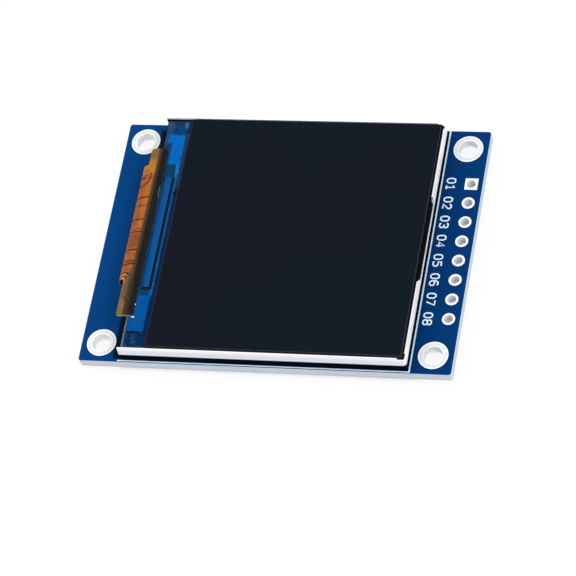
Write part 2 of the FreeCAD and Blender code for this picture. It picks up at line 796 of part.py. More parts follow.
def make_display_flex():
    """Flexible circuit: wide where it is bonded, narrower round the bend and under the display."""
    body = new_body("display_flex", place_y=display_place)
    gauge = size("flex_gauge")
    low = board_top + size("land_height")
    high = ledge_top + gauge
    middle = (low + high) / 2
    tail_end = bend_place + size("flex_tail_length")
    half_height = (high - low) / 2
    end_radius = (half_height * 3 - size("flex_bulge")) / 2
    side_radius = half_height * 5 - end_radius * 4
    end_place = bend_place - (side_radius - end_radius) * ARC_RUN

    def bend_points(reach):
        """Where the bend's arcs meet, for the outside or the inside of the film."""
        run = bend_place - (side_radius - reach) * ARC_RUN
        rise = (side_radius - reach) * ARC_RISE - side_radius + half_height
        return (run, middle + rise), (run, middle - rise)

    outer_high, outer_low = bend_points(0)
    inner_high, inner_low = bend_points(gauge)
    profile = new_sketch(body, "flex_profile", "XZ_Plane")
    draw_outline(profile, [
        (bond_right, high), (bend_place, high), outer_high, outer_low, (bend_place, low), (tail_end, low),
        (tail_end, low + gauge), (bend_place, low + gauge), inner_low, inner_high,
        (bend_place, high - gauge), (bond_right, high - gauge),
    ], bends={
        1: (bend_place, high - side_radius, 1), 2: (end_place, middle, 1),
        3: (bend_place, low + side_radius, 1), 7: (bend_place, low + side_radius, -1),
        8: (end_place, middle, -1), 9: (bend_place, high - side_radius, -1),
    })
    add_pad(body, profile, size("flex_wide") + size("flex_wide_shift") * 2, both_ways=True)

    wide_low = size("flex_wide_shift") - size("flex_wide") / 2
    wide_high = size("flex_wide_shift") + size("flex_wide") / 2
    tail_low = size("flex_tail_shift") - size("flex_tail") / 2
    tail_high = size("flex_tail_shift") + size("flex_tail") / 2
    beyond = size("flex_wide")
    trims = new_sketch(body, "flex_trims", "YZ_Plane")
    draw_outline(trims, [
        (tail_high, low - OVERRUN), (beyond, low - OVERRUN), (beyond, high + OVERRUN),
        (wide_high, high + OVERRUN), (wide_high, middle), (tail_high, middle),
    ])
    draw_outline(trims, [
        (tail_low, low - OVERRUN), (tail_low, middle), (wide_low, middle), (wide_low, high + OVERRUN),
        (-beyond, high + OVERRUN), (-beyond, low - OVERRUN),
    ])
    add_pocket(body, trims, board_half_long * 2, both_ways=True)

    shoulders = new_sketch(body, "flex_shoulders", lift=middle)
    shoulder = bend_place - size("flex_shoulder")
    outside = bend_place - (high - low)
    corner = size("flex_corner")
    for tail, wide, side in ((tail_high, wide_high, 1), (tail_low, wide_low, -1)):
        rounding = wide - corner * side
        draw_outline(shoulders, [
            (outside, tail), (shoulder, tail), (shoulder, rounding),
            (shoulder + corner, wide), (shoulder + corner, beyond * side), (outside, beyond * side),
        ], bends={2: (shoulder + corner, rounding, -side)})
    trimmed = add_pocket(body, shoulders, upward=True)

    def bonded_corner(start, end, edge):
        at_side = min(abs(start.y - wide_low.value), abs(start.y - wide_high.value)) < 1e-6
        return upright(start, end, edge) and at_side and abs(start.x - bond_right.value) < 1e-6

    add_fillet(body, trimmed, edges_that(trimmed.Shape, bonded_corner), corner)
    return body


# Parts on the back of the board

def back_turn(angle):
    """Rotation that hangs a part under the board, turned about its own axis."""
    return Rotation(Vector(1, 0, 0), 180).multiply(Rotation(Vector(0, 0, 1), angle))


def make_package(name, place_x, place_y, angle):
    """Three-lead moulded package with drafted sides and gull-wing leads."""
    turn = back_turn(angle)
    case = new_body(name, place_x, place_y, 0, turn)
    half_long = size("package_length") / 2
    half_wide = size("package_width") / 2
    parting = size("land_height") + size("lead_height") + size("lead_gauge") / 2
    top = size("land_height") + size("package_standoff") + size("package_height")
    outline = new_sketch(case, f"{name}_outline", lift=parting)
    draw_rectangle(outline, -half_long, half_long, -half_wide, half_wide)
    add_pad(case, outline, top - parting, draft=size("package_draft"))
    lower = new_sketch(case, f"{name}_lower", lift=parting)
    draw_rectangle(lower, -half_long, half_long, -half_wide, half_wide)
    bottom = size("land_height") + size("package_standoff")
    add_pad(case, lower, parting - bottom, downward=True, draft=size("package_draft"))

    leads = new_body(f"{name}_leads", place_x, place_y, 0, turn)
    leads.AllowCompound = True
    low = size("land_height")
    gauge = size("lead_gauge")
    reach = size("lead_span") / 2
    knee = reach - size("lead_foot")
    high = low + size("lead_height")
    shapes = ((1, 0, "single"), (-1, -1, "first"), (-1, 1, "second"))
    for side, step, word in shapes:
        lead = new_sketch(leads, f"{name}_{word}_lead", "YZ_Plane", lift=size("lead_pitch") * step)
        draw_outline(lead, [
            (half_wide * side, high), ((knee - gauge) * side, high),
            ((knee - gauge) * side, low), (reach * side, low),
            (reach * side, low + gauge), (knee * side, low + gauge),
            (knee * side, high + gauge), (half_wide * side, high + gauge),
        ])
        add_pad(leads, lead, size("lead_width"), both_ways=True)


def make_passive(name, place_x, place_y, angle, height):
    """Ceramic block with a plated cap on each end."""
    turn = back_turn(angle)
    low = size("land_height")
    wall = size("passive_end_wall")
    half_long = size("passive_length") / 2
    half_wide = size("passive_width") / 2
    block = new_body(name, place_x, place_y, 0, turn)
    outline = new_sketch(block, f"{name}_outline", lift=low + wall)
    draw_rectangle(outline, -half_long + wall, half_long - wall, -half_wide + wall, half_wide - wall)
    add_pad(block, outline, height - wall * 2)

    caps = new_body(f"{name}_ends", place_x, place_y, 0, turn)
    caps.AllowCompound = True
    outline = new_sketch(caps, f"{name}_cap", lift=low)
    end = half_long - size("passive_end")
    draw_rectangle(outline, -half_long, -end, -half_wide, half_wide)
    draw_rectangle(outline, end, half_long, -half_wide, half_wide)
    feature = add_pad(caps, outline, height)
    add_chamfer(caps, feature, edges_that(feature.Shape, upright), size("passive_edge"))
    core = new_sketch(caps, f"{name}_core", lift=low + wall)
    draw_rectangle(core, -half_long + wall, half_long - wall, -half_wide + wall, half_wide - wall)
    add_pocket(caps, core, height - wall * 2, upward=True)


def make_back_lands():
    """Solder lands under every lead and cap on the back of the board."""
    pairs = []
    foot = size("lead_span") / 2
    for name, place_x, place_y, angle in PACKAGES:
        half = size("lead_width") / 2 + size("plating")
        inner = foot - size("lead_foot") - size("lead_gauge")
        outer = foot + size("land_overhang")
        for side, step in ((1, 0), (-1, -1), (-1, 1)):
            middle = size("lead_pitch") * step
            low, high = (inner, outer) if side > 0 else (-outer, -inner)
            pairs.append((place_x, place_y, angle, middle - half, middle + half, low, high))
    inner = size("passive_length") / 2 - size("passive_end")
    outer = size("passive_length") / 2 + size("land_overhang")
    half = size("passive_width") / 2 + size("plating")
    for name, place_x, place_y, angle in CAPACITORS + RESISTORS:
        for low, high in ((inner, outer), (-outer, -inner)):
            pairs.append((place_x, place_y, angle, low, high, -half, half))

    body = new_body("back_lands")
    body.AllowCompound = True
    outline = new_sketch(body, "back_land_outline")
    for place_x, place_y, angle, left, right, low, high in pairs:
        if angle:
            left, right, low, high = -high, -low, left, right
            draw_rectangle(outline, place_x + left, place_x + right, place_y - high, place_y - low)
        else:
            draw_rectangle(outline, place_x + left, place_x + right, place_y + low, place_y + high)
    add_pad(body, outline, size("land_height"), downward=True)
    return body


def make_back_parts():
    """Regulator, transistor, capacitors and resistors under the board."""
    make_back_lands()
    for name, place_x, place_y, angle in PACKAGES:
        make_package(name, place_x, place_y, angle)
    for name, place_x, place_y, angle in CAPACITORS:
        make_passive(name, place_x, place_y, angle, size("capacitor_height"))
    for name, place_x, place_y, angle in RESISTORS:
        make_passive(name, place_x, place_y, angle, size("resistor_height"))


def check_objects():
    """Stop if any feature failed or any sub-part is empty or broken."""
    doc.recompute()
    for thing in doc.Objects:
        if "Invalid" in thing.State or "Error" in thing.State:
            raise ValueError(f"{thing.Label} failed: {thing.State}")
    bodies = [thing for thing in doc.Objects if thing.isDerivedFrom("PartDesign::Body")]
    for body in bodies:
        if body.Shape.isNull() or not body.Shape.isValid() or not body.Shape.Solids:
            raise ValueError(f"{body.Label} has no sound solid")
    return bodies


def main():
    make_board()
    for number, (place_x, place_y) in enumerate(mounting_places(), start=1):
        make_plated_hole(f"mounting_ring_{number}", place_x, place_y,
                         size("mounting_bore"), size("mounting_land"))
    make_header_places()
    make_flex_lands()
    make_foam()
    make_tray()
    make_frame()
    make_backlight_layers()
    make_rim_tape()
    make_light_source()
    make_glass_cell()
    make_driver_chip()
    make_ledge_coating()
    make_display_flex()
    make_back_parts()

    bodies = check_objects()
    os.makedirs("parts", exist_ok=True)
    for body in bodies:
        body.Shape.exportStep(f"parts/{body.Label}.step")
        print(f"{body.Label}: {len(body.Shape.Solids)} solids, {body.Shape.Volume:.3f} mm3")


main()
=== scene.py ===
import json
import math

import bmesh
import bpy
from mathutils import Matrix, Vector


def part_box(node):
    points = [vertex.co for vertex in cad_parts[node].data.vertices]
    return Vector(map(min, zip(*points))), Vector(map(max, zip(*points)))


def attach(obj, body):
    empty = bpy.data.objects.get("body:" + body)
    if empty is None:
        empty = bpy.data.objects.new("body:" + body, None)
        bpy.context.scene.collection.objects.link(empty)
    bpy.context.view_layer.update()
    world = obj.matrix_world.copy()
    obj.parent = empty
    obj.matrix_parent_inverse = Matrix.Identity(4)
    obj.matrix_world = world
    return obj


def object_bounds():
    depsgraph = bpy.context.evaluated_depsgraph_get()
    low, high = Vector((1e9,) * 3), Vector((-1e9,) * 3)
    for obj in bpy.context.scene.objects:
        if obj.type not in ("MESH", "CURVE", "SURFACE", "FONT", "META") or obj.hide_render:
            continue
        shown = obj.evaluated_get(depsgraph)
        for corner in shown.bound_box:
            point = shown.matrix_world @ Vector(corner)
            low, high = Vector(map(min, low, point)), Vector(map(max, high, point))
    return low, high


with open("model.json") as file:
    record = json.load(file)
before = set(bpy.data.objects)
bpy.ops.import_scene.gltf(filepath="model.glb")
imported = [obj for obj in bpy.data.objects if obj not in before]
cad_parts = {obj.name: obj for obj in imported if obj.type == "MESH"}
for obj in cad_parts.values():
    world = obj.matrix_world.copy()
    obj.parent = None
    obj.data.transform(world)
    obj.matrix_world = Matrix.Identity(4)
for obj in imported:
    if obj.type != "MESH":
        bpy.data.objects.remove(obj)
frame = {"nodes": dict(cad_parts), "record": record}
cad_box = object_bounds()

# Looks of a small display module. The frame's sizes are metres, this script's are millimetres.
MM = 0.001


def corners(node):
    """Lowest and highest corner of a CAD node, in millimetres."""
    low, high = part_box(node)
    return Vector(low) / MM, Vector(high) / MM


BOARD_LOW, BOARD_HIGH = corners("board")
SCREEN_LOW, SCREEN_HIGH = corners("front_polarizer")
TRAY_LOW, TRAY_HIGH = corners("backlight_tray")
FLEX_LOW, FLEX_HIGH = corners("display_flex")
CHIP_LOW, CHIP_HIGH = corners("driver_chip")
RING_LOW, RING_HIGH = corners("mounting_ring_1")
PIN_LOW, PIN_HIGH = corners("header_pad_2")
BOARD_TOP = BOARD_HIGH.z
COATING_TOP = corners("ledge_coating")[1].z
BACK_LAND_LOW = corners("back_lands")[0].z

# Mounting holes: half their spacings, and the radii of their plating and bore
MOUNT = next(mount for mount in frame["record"]["mounts"] if mount["name"] == "mounting_holes")
MOUNT_X = MOUNT["dims"]["spacing_x_mm"] / 2
MOUNT_Y = MOUNT["dims"]["spacing_y_mm"] / 2
MOUNT_LAND = (RING_HIGH.x - RING_LOW.x) / 2
MOUNT_BORE = 1.1

# Header holes: their row, the first one's place and the radii of their plating and bore
PIN_COUNT = 8
PIN_PITCH = 2.54
PIN_ROW_X = (PIN_LOW.x + PIN_HIGH.x) / 2
PIN_ROW_REACH = PIN_PITCH * PIN_COUNT / 2
FIRST_PIN_Y = PIN_PITCH * (PIN_COUNT - 1) / 2
PIN_LAND = (PIN_HIGH.x - PIN_LOW.x) / 2
PIN_BORE = 0.5

# Where the flexible circuit starts to bend down, and the slant of that line
CREST_X = -16.75
CREST_SLANT = 0.0107


def srgb(red, green, blue):
    """A colour written as 0 to 255, as the shader takes it."""
    def linear(level):
        level /= 255
        return level / 12.92 if level <= 0.04045 else ((level + 0.055) / 1.055) ** 2.4
    return (linear(red), linear(green), linear(blue), 1.0)


# Procedural materials

class Nodes:
    """A shader's node tree that is put together one step at a time."""

    def __init__(self, tree):
        self.tree = tree

    def node(self, kind, **settings):
        """A new node of a kind, with its settings."""
        made = self.tree.nodes.new(kind)
        for key, value in settings.items():
            setattr(made, key, value)
        return made

    def feed(self, socket, value):
        """Link a socket, or set it to a plain value."""
        if isinstance(value, bpy.types.NodeSocket):
            self.tree.links.new(value, socket)
        else:
            socket.default_value = value

    def calc(self, operation, first, second=0.0):
        """The result of a sum, a product or another operation."""
        made = self.node("ShaderNodeMath", operation=operation)
        self.feed(made.inputs[0], first)
        self.feed(made.inputs[1], second)
        return made.outputs[0]

    def times(self, first, *others):
        """The product of masks and plain numbers."""
        product = first
        for other in others:
            product = self.calc("MULTIPLY", product, other)
        return product

    def any_of(self, masks):
        """The highest of several masks."""
        highest = masks[0]
        for mask in masks[1:]:
            highest = self.calc("MAXIMUM", highest, mask)
        return highest

    def step(self, value, low, high, start=0.0, end=1.0):
        """A smooth step from one level to another."""
        made = self.node("ShaderNodeMapRange", interpolation_type="SMOOTHSTEP")
        self.feed(made.inputs["Value"], value)
        made.inputs["From Min"].default_value = low
        made.inputs["From Max"].default_value = high
        made.inputs["To Min"].default_value = start
        made.inputs["To Max"].default_value = end
        return made.outputs[0]

    def seen_by(self, *rays):
        """1 for rays of the named kinds, 0 for all others."""
        path = self.node("ShaderNodeLightPath")
        return self.any_of([path.outputs[f"Is {ray} Ray"] for ray in rays])


class Look(Nodes):
    """A material whose marks have their places in millimetres."""

    def __init__(self, name):
        self.material = bpy.data.materials.new(name)
        self.material.use_nodes = True
        super().__init__(self.material.node_tree)
        self.shader = self.tree.nodes["Principled BSDF"]
        self.place = self.node("ShaderNodeTexCoord").outputs["Object"]
        self.axes = None

    def coordinates(self):
        """The object coordinates x, y and z in millimetres."""
        if not self.axes:
            parts = self.node("ShaderNodeSeparateXYZ")
            self.feed(parts.inputs[0], self.place)
            self.axes = [self.calc("DIVIDE", output, MM) for output in parts.outputs]
        return self.axes

    def facing(self, axis):
        """The surface normal along the axis X, Y or Z."""
        parts = self.node("ShaderNodeSeparateXYZ")
        self.feed(parts.inputs[0], self.node("ShaderNodeNewGeometry").outputs["True Normal"])
        return parts.outputs[axis]

    def level(self):
        """1 on level faces, 0 on upright ones."""
        return self.step(self.calc("ABSOLUTE", self.facing("Z")), 0.4, 0.6)

    def band(self, value, low, high, soft=0.03):
        """1 between two places, 0 outside."""
        rise = self.step(value, low - soft, low + soft)
        fall = self.step(value, high - soft, high + soft, 1.0, 0.0)
        return self.times(rise, fall)

    def patch(self, left, right, low, high, soft=0.03):
        """1 inside a rectangle seen from above."""
        x, y, _ = self.coordinates()
        return self.times(self.band(x, left, right, soft), self.band(y, low, high, soft))

    def noise(self, size, detail=3.0, roughness=0.5, stretch=(1, 1, 1)):
        """Noise with features of about this many millimetres."""
        scaled = self.node("ShaderNodeVectorMath", operation="MULTIPLY")
        self.feed(scaled.inputs[0], self.place)
        scaled.inputs[1].default_value = [1 / (MM * size * factor) for factor in stretch]
        made = self.node("ShaderNodeTexNoise")
        self.feed(made.inputs["Vector"], scaled.outputs[0])
        made.inputs["Scale"].default_value = 1.0
        made.inputs["Detail"].default_value = detail
        made.inputs["Roughness"].default_value = roughness
        return made.outputs["Fac"]

    def mix(self, factor, first, second):
        """Blend two colours."""
        made = self.node("ShaderNodeMix", data_type="RGBA")
        self.feed(made.inputs[0], factor)
        self.feed(made.inputs[6], first)
        self.feed(made.inputs[7], second)
        return made.outputs[2]

    def lay(self, colour, over, *shares):
        """A colour over another, as far as the product of masks and numbers says."""
        return self.mix(self.times(*shares), colour, over)

    def ramp(self, value, stops):
        """A colour ramp with stops of place and colour."""
        made = self.node("ShaderNodeValToRGB")
        elements = made.color_ramp.elements
        while len(elements) < len(stops):
            elements.new(0.5)
        for element, (place, colour) in zip(elements, stops):
            element.position = place
            element.color = colour
        self.feed(made.inputs[0], value)
        return made.outputs[0]

    def bump(self, height, depth, strength):
        """Relief of a given depth in millimetres."""
        made = self.node("ShaderNodeBump")
        made.inputs["Strength"].default_value = strength
        made.inputs["Distance"].default_value = depth * MM
        self.feed(made.inputs["Height"], height)
        self.feed(self.shader.inputs["Normal"], made.outputs[0])

    def finish(self, colour, roughness, metallic=0.0, specular=0.5, tint=(1, 1, 1)):
        """Set the shader's main sockets."""
        self.feed(self.shader.inputs["Base Color"], colour)
        self.feed(self.shader.inputs["Roughness"], roughness)
        self.shader.inputs["Metallic"].default_value = metallic
        self.shader.inputs["Specular IOR Level"].default_value = specular
        self.shader.inputs["Specular Tint"].default_value = (*tint, 1.0)
        return self.material


def distance(look, across, along):
    """Length of a step across and along the board."""
    squares = look.calc("ADD", look.times(across, across), look.times(along, along))
    return look.calc("SQRT", squares)


def from_mounting_hole(look):
    """Distance from the nearest mounting hole's axis."""
    x, y, _ = look.coordinates()
    across = look.calc("SUBTRACT", look.calc("ABSOLUTE", x), MOUNT_X)
    along = look.calc("SUBTRACT", look.calc("ABSOLUTE", y), MOUNT_Y)
    return distance(look, across, along)


def from_header_hole(look):
    """Distance from the nearest header hole's axis."""
    x, y, _ = look.coordinates()
    shifted = look.calc("MODULO", look.calc("ADD", y, PIN_PITCH * PIN_COUNT), PIN_PITCH)
    along = look.calc("SUBTRACT", shifted, PIN_PITCH / 2)
    return distance(look, look.calc("SUBTRACT", x, PIN_ROW_X), along)


# Tint of the reflections on blue surfaces and on the amber film
BLUE_GLOSS = (0.08, 0.45, 1.0)
AMBER_GLOSS = (1.0, 0.8, 0.6)

# Copper track under the solder mask on top: left, right, low and high edge
TOP_COPPER = (18.34, 19.9, -9.05, -8.45)

# Painted shadow of the display on the board: left, right, low and high edge
DISPLAY_SHADES = [(-17.8, -16.3, -15.6, 15.3), (15.4, 16.92, 15.2, 16.1), (-16.9, 16.9, -15.7, -15.5)]


def board_look():
    """Blue solder mask over glass cloth, with pale laminate on the cut edges, a painted shadow of the display
    on the mask, and painted light on the cut edges that face right.
    """
    look = Look("board_mask")
    x, y, z = look.coordinates()
    cloth = look.noise(0.45, 2.0, 0.5, (1.0, 0.35, 1.0))
    cloud = look.times(look.noise(9.0, 2.0), 0.5)
    lighter = look.calc("ADD", cloud, look.step(x, -22.0, 22.0, 0.5, 0.0))
    masked = look.mix(lighter, srgb(0, 42, 94), srgb(0, 62, 123))
    on_top = look.step(z, BOARD_TOP / 2 - 0.1, BOARD_TOP / 2 + 0.1)
    track = look.times(look.patch(*TOP_COPPER, soft=0.04), on_top)
    masked = look.lay(masked, srgb(0, 80, 150), track, 0.12)
    by_mount = look.step(from_mounting_hole(look), MOUNT_LAND + 0.2, MOUNT_LAND + 0.04)
    by_pin = look.step(from_header_hole(look), PIN_LAND + 0.16, PIN_LAND + 0.02)
    by_pin = look.times(by_pin, look.band(y, -PIN_ROW_REACH, PIN_ROW_REACH))
    masked = look.lay(masked, srgb(0, 24, 56), look.calc("MAXIMUM", by_mount, by_pin), 0.6)
    # Painted shadow of the display on the mask
    shaded = look.any_of([look.patch(*area, soft=0.14) for area in DISPLAY_SHADES])
    masked = look.lay(masked, srgb(0, 4, 12), shaded, on_top, 0.95)

    layers = look.noise(0.5, 4.0, 0.6, (6.0, 6.0, 0.25))
    specks = look.noise(0.25, 2.0, 0.6)
    laminate = look.mix(layers, srgb(168, 176, 188), srgb(206, 212, 220))
    laminate = look.lay(laminate, srgb(232, 235, 240), look.step(specks, 0.62, 0.72, 0.0, 0.5))
    laminate = look.lay(laminate, srgb(150, 156, 168), look.step(z, 0.25, 0.02, 0.0, 0.5))
    # Painted light: cut edges that face right are lighter and bluer
    laminate = look.lay(laminate, srgb(170, 188, 206), look.step(look.facing("X"), 0.5, 0.8, 0.0, 0.3))
    level = look.level()
    look.bump(look.calc("ADD", look.times(cloth, 0.25), track), 0.03, 0.35)
    roughness = look.step(level, 0.0, 1.0, 0.75, 0.4)
    return look.finish(look.mix(level, laminate, masked), roughness, specular=0.12, tint=BLUE_GLOSS)


def track_look():
    """Solder mask where it lies over copper: a lighter and glossier blue."""
    look = Look("mask_over_copper")
    colour = look.mix(look.noise(2.5, 3.0), srgb(0, 62, 124), srgb(2, 78, 146))
    look.bump(look.noise(0.3, 2.0, 0.6), 0.006, 0.5)
    return look.finish(colour, 0.34, specular=0.2, tint=BLUE_GLOSS)


def plating_look(name, away_from_hole, rim, bore, wall_colour, foot_light_colour):
    """Tinned copper round a hole: painted highlights on the outer rim and at the hole's edge, a greyer
    middle, and the hole's wall, with painted light at its foot and in the holes on the left.
    """
    look = Look(name)
    x, _, z = look.coordinates()
    away = away_from_hole(look)
    uneven = look.noise(0.6, 3.0, 0.6)
    grain = look.noise(0.12, 2.0, 0.6)
    dull = look.step(look.noise(0.28, 3.0, 0.6), 0.5, 0.68, 0.0, 0.5)
    colour = look.mix(uneven, srgb(202, 209, 215), srgb(228, 231, 235))
    colour = look.lay(colour, srgb(192, 196, 202), dull)
    # Painted highlights on the outer rim and at the hole's edge
    colour = look.lay(colour, srgb(242, 248, 252), look.step(away, rim - 0.22, rim - 0.06))
    colour = look.lay(colour, srgb(232, 235, 238), look.step(away, bore + 0.3, bore + 0.05))
    barrel = look.mix(uneven, wall_colour, srgb(230, 229, 233))
    # Painted light on the walls of the holes on the left, and at the foot of every wall
    barrel = look.lay(barrel, srgb(246, 245, 248), look.step(x, 5.0, -5.0, 0.0, 0.8))
    barrel = look.lay(barrel, foot_light_colour, look.step(z, 0.52, 0.3))
    in_hole = look.step(away, bore + 0.04, bore + 0.015)
    colour = look.lay(colour, barrel, in_hole, look.step(z, BOARD_TOP + 0.03, BOARD_TOP - 0.05))
    look.bump(look.calc("ADD", uneven, look.times(grain, 0.3)), 0.03, 0.6)
    return look.finish(colour, look.step(grain, 0.3, 0.7, 0.4, 0.55), metallic=0.15, specular=0.3)


def ring_look():
    """Plating of the mounting holes."""
    wall, foot = srgb(210, 213, 216), srgb(252, 252, 252)
    return plating_look("ring_plating", from_mounting_hole, MOUNT_LAND, MOUNT_BORE, wall, foot)


def pad_look():
    """Plating of the header holes."""
    wall, foot = srgb(218, 209, 221), srgb(222, 215, 225)
    return plating_look("pad_plating", from_header_hole, PIN_LAND, PIN_BORE, wall, foot)


def tin_look():
    """Solder-coated lands: bright, soft and slightly uneven."""
    look = Look("tin_plating")
    uneven = look.noise(0.7, 3.0, 0.6)
    grain = look.noise(0.12, 2.0, 0.6)
    colour = look.mix(uneven, srgb(200, 204, 210), srgb(232, 234, 238))
    look.bump(look.calc("ADD", uneven, look.times(grain, 0.3)), 0.03, 0.6)
    return look.finish(colour, look.step(grain, 0.3, 0.7, 0.32, 0.5), metallic=0.5)


def foam_look():
    """Black closed-cell foam tape, a little blue at its cut edge."""
    look = Look("black_foam")
    cells = look.noise(0.14, 3.0, 0.7)
    colour = look.mix(look.noise(3.0, 2.0), srgb(2, 8, 17), srgb(8, 17, 28))
    colour = look.lay(colour, srgb(18, 28, 42), look.step(cells, 0.55, 0.75, 0.0, 0.35))
    look.bump(cells, 0.05, 0.8)
    return look.finish(colour, 0.75, specular=0.0)


# Near-black band on the top of the tray's wall in its notch, and a near-black line at the notch's end: left,
# right, low and high edge
NOTCH_DARK_BAND = (16.5, 17.2, -4.98, 5.06)
NOTCH_DARK_LINE = (16.5, 17.2, 5.3, 5.42)


def tray_look():
    """Bright rolled sheet, drawn along the walls, with painted shade in the bend, on the walls that face the
    front and low on the right wall, and painted light on the walls that face right.
    """
    look = Look("tray_metal")
    x, y, z = look.coordinates()
    height = look.calc("SUBTRACT", z, TRAY_LOW.z)
    drawn = look.noise(0.5, 4.0, 0.6, (8.0, 8.0, 0.12))
    wear_and_edge_light = look.noise(2.2, 3.0, 0.55)
    at_front = look.step(look.facing("Y"), -0.5, -0.8)
    at_right = look.step(look.facing("X"), 0.5, 0.8)
    colour = look.mix(drawn, srgb(240, 242, 247), srgb(252, 253, 255))
    # Painted shade on the walls that face the front, greyer in a band low on them
    colour = look.lay(colour, srgb(218, 220, 228), at_front, 0.6)
    colour = look.lay(colour, srgb(188, 191, 204), look.band(height, 0.4, 1.25, 0.2), at_front, 0.5)
    colour = look.lay(colour, srgb(216, 218, 227), look.step(wear_and_edge_light, 0.55, 0.75, 0.0, 0.25))
    # Painted light on the walls that face right, and painted shade low on them
    colour = look.lay(colour, srgb(255, 255, 255), at_right, 0.8)
    colour = look.lay(colour, srgb(190, 192, 204), at_right, look.step(height, 0.7, 0.2), 0.45)
    # Painted shade in the bend
    front_bend_shade = look.times(at_front, look.step(height, 0.46, 0.14))
    bend_shade_mask = look.calc("MAXIMUM", front_bend_shade, look.step(height, 0.22, 0.06))
    colour = look.lay(colour, srgb(60, 66, 80), bend_shade_mask, 0.9)

    off_wall = look.step(x, TRAY_HIGH.x - 0.04, TRAY_HIGH.x - 0.08)
    along_wall = look.band(y, TRAY_LOW.y + 0.12, TRAY_HIGH.y - 0.3, 0.02)
    upward = look.step(look.facing("Z"), 0.4, 0.6)
    colour = look.lay(colour, srgb(14, 15, 20), off_wall, along_wall, upward)
    notch_top_band = look.times(look.patch(*NOTCH_DARK_BAND, soft=0.02), look.step(height, 0.74, 0.8))
    notch_end_line = look.times(look.patch(*NOTCH_DARK_LINE, soft=0.03), look.step(height, 0.5, 0.8), 0.85)
    colour = look.lay(colour, srgb(9, 10, 15), look.calc("MAXIMUM", notch_top_band, notch_end_line))
    look.bump(look.calc("ADD", look.times(drawn, 0.4), wear_and_edge_light), 0.02, 0.5)
    return look.finish(colour, look.step(drawn, 0.3, 0.7, 0.3, 0.42), metallic=0.1)


def black_plastic_look(name, grain_size):
    """Matt black moulding or tape with a fine grain."""
    look = Look(name)
    grain = look.noise(grain_size, 3.0, 0.6)
    colour = look.mix(grain, srgb(3, 4, 7), srgb(12, 13, 17))
    look.bump(grain, 0.01, 0.5)
    return look.finish(colour, look.step(grain, 0.3, 0.7, 0.5, 0.65), specular=0.03)


def screen_look():
    """Near-black anti-glare film with a faint change of tint, dark cut edges, a lilac line along its left
    edge and painted highlights along its front and right edges.
    """
    look = Look("polarizer")
    x, y, _ = look.coordinates()
    tint = look.noise(14.0, 2.0, 0.4, (1.0, 1.6, 1.0))
    grain = look.noise(0.05, 2.0, 0.6)
    colour = look.ramp(tint, [(0.3, srgb(17, 18, 28)), (0.5, srgb(14, 20, 30)), (0.7, srgb(13, 22, 31))])
    left = look.step(x, SCREEN_LOW.x + 0.02, SCREEN_LOW.x + 0.26, 1.0, 0.0)
    colour = look.lay(colour, srgb(46, 44, 64), left, 0.6)
    # Painted highlights along the front and right edges
    front = look.step(y, SCREEN_LOW.y + 0.02, SCREEN_LOW.y + 0.09, 1.0, 0.0)
    right = look.step(x, SCREEN_HIGH.x - 0.09, SCREEN_HIGH.x - 0.02)
    colour = look.lay(colour, srgb(92, 92, 100), look.calc("MAXIMUM", front, right), 0.35)
    colour = look.mix(look.level(), srgb(26, 26, 32), colour)
    look.bump(grain, 0.002, 0.4)
    return look.finish(colour, look.step(grain, 0.3, 0.7, 0.34, 0.42), specular=0.03)


GLASS_TRANSMISSION = 0.85
GLASS_IOR = 1.5


def glass_look():
    """Clear thin glass with ground, slightly blue edges, and a top with painted light, brighter at the
    ledge's front end.
    """
    look = Look("cell_glass")
    y = look.coordinates()[1]
    level = look.level()
    ground = look.noise(0.12, 3.0, 0.6)
    edge = look.mix(ground, srgb(30, 66, 96), srgb(60, 100, 132))
    # Painted light: the top is brighter at the ledge's front end than further back
    clear = look.mix(look.step(y, -10.0, -13.0), srgb(84, 98, 112), srgb(214, 232, 241))
    look.shader.inputs["Transmission Weight"].default_value = GLASS_TRANSMISSION
    look.shader.inputs["IOR"].default_value = GLASS_IOR
    look.bump(ground, 0.004, 0.3)
    return look.finish(look.mix(level, edge, clear), look.step(level, 0.0, 1.0, 0.45, 0.04))


# Areas of the ledge's coating: left, right, low and high edge, and for most how soft they are
MOTTLED_END = (-16.3, -13.7, 12.9, 15.2, 0.2)
WORN_END = (-16.0, -13.6, -15.3, -13.3, 0.1)
CORNER_REFLECTION = (-16.4, -15.6, 13.7, 15.4, 0.3)
CORNER_GLINT = (-14.1, -13.8, 14.15, 14.85, 0.2)
PALE_STRIP = (-14.25, -13.85, -8.6, 9.2, 0.03)
BEHIND_CHIP = (-16.2, -15.2, -7.6, 7.35, 0.06)
TEAL_SQUARES = [(-15.6, -14.3, 7.35, 9.1), (-15.6, -14.3, -8.6, -7.6)]
BRIGHT_FIELDS = [(-15.95, -13.86, 9.1, 13.1), (-15.95, -14.0, -13.33, -8.6)]
SCREEN_REFLECTION = (-13.85, -13.4, 6.0, 13.4, 0.15)
BEND_SHADE = (-16.3, -15.3, 6.6, 12.0, 0.2)
FILM_SHADE = (-16.3, -15.46, -11.3, 7.0, 0.1)
LIT_LEFT_EDGE = (-16.3, -16.0, -15.5, -11.3, 0.12)
# Dark lines on the coating: the one along the front field's edge and the ones beside and in front of the chip
# are painted shade, and the last is a small dark dot
DARK_LINES = [
    (-16.0, -14.5, -13.54, -13.28, 0.04), (-14.5, -14.32, -13.8, -13.4, 0.05),
    (-14.42, -14.08, -7.7, 7.35, 0.04), (-15.25, -14.2, -7.84, -7.6, 0.04),
    (-13.93, -13.62, 5.0, 5.32, 0.05),
]

# Stretches of its strip and of the painted shade along its left edge: low and high end, and how soft they are
STRIP_GLOW = (7.6, 9.6, 0.6)
EDGE_SHADE_REACH = (11.6, 15.4, 0.3)


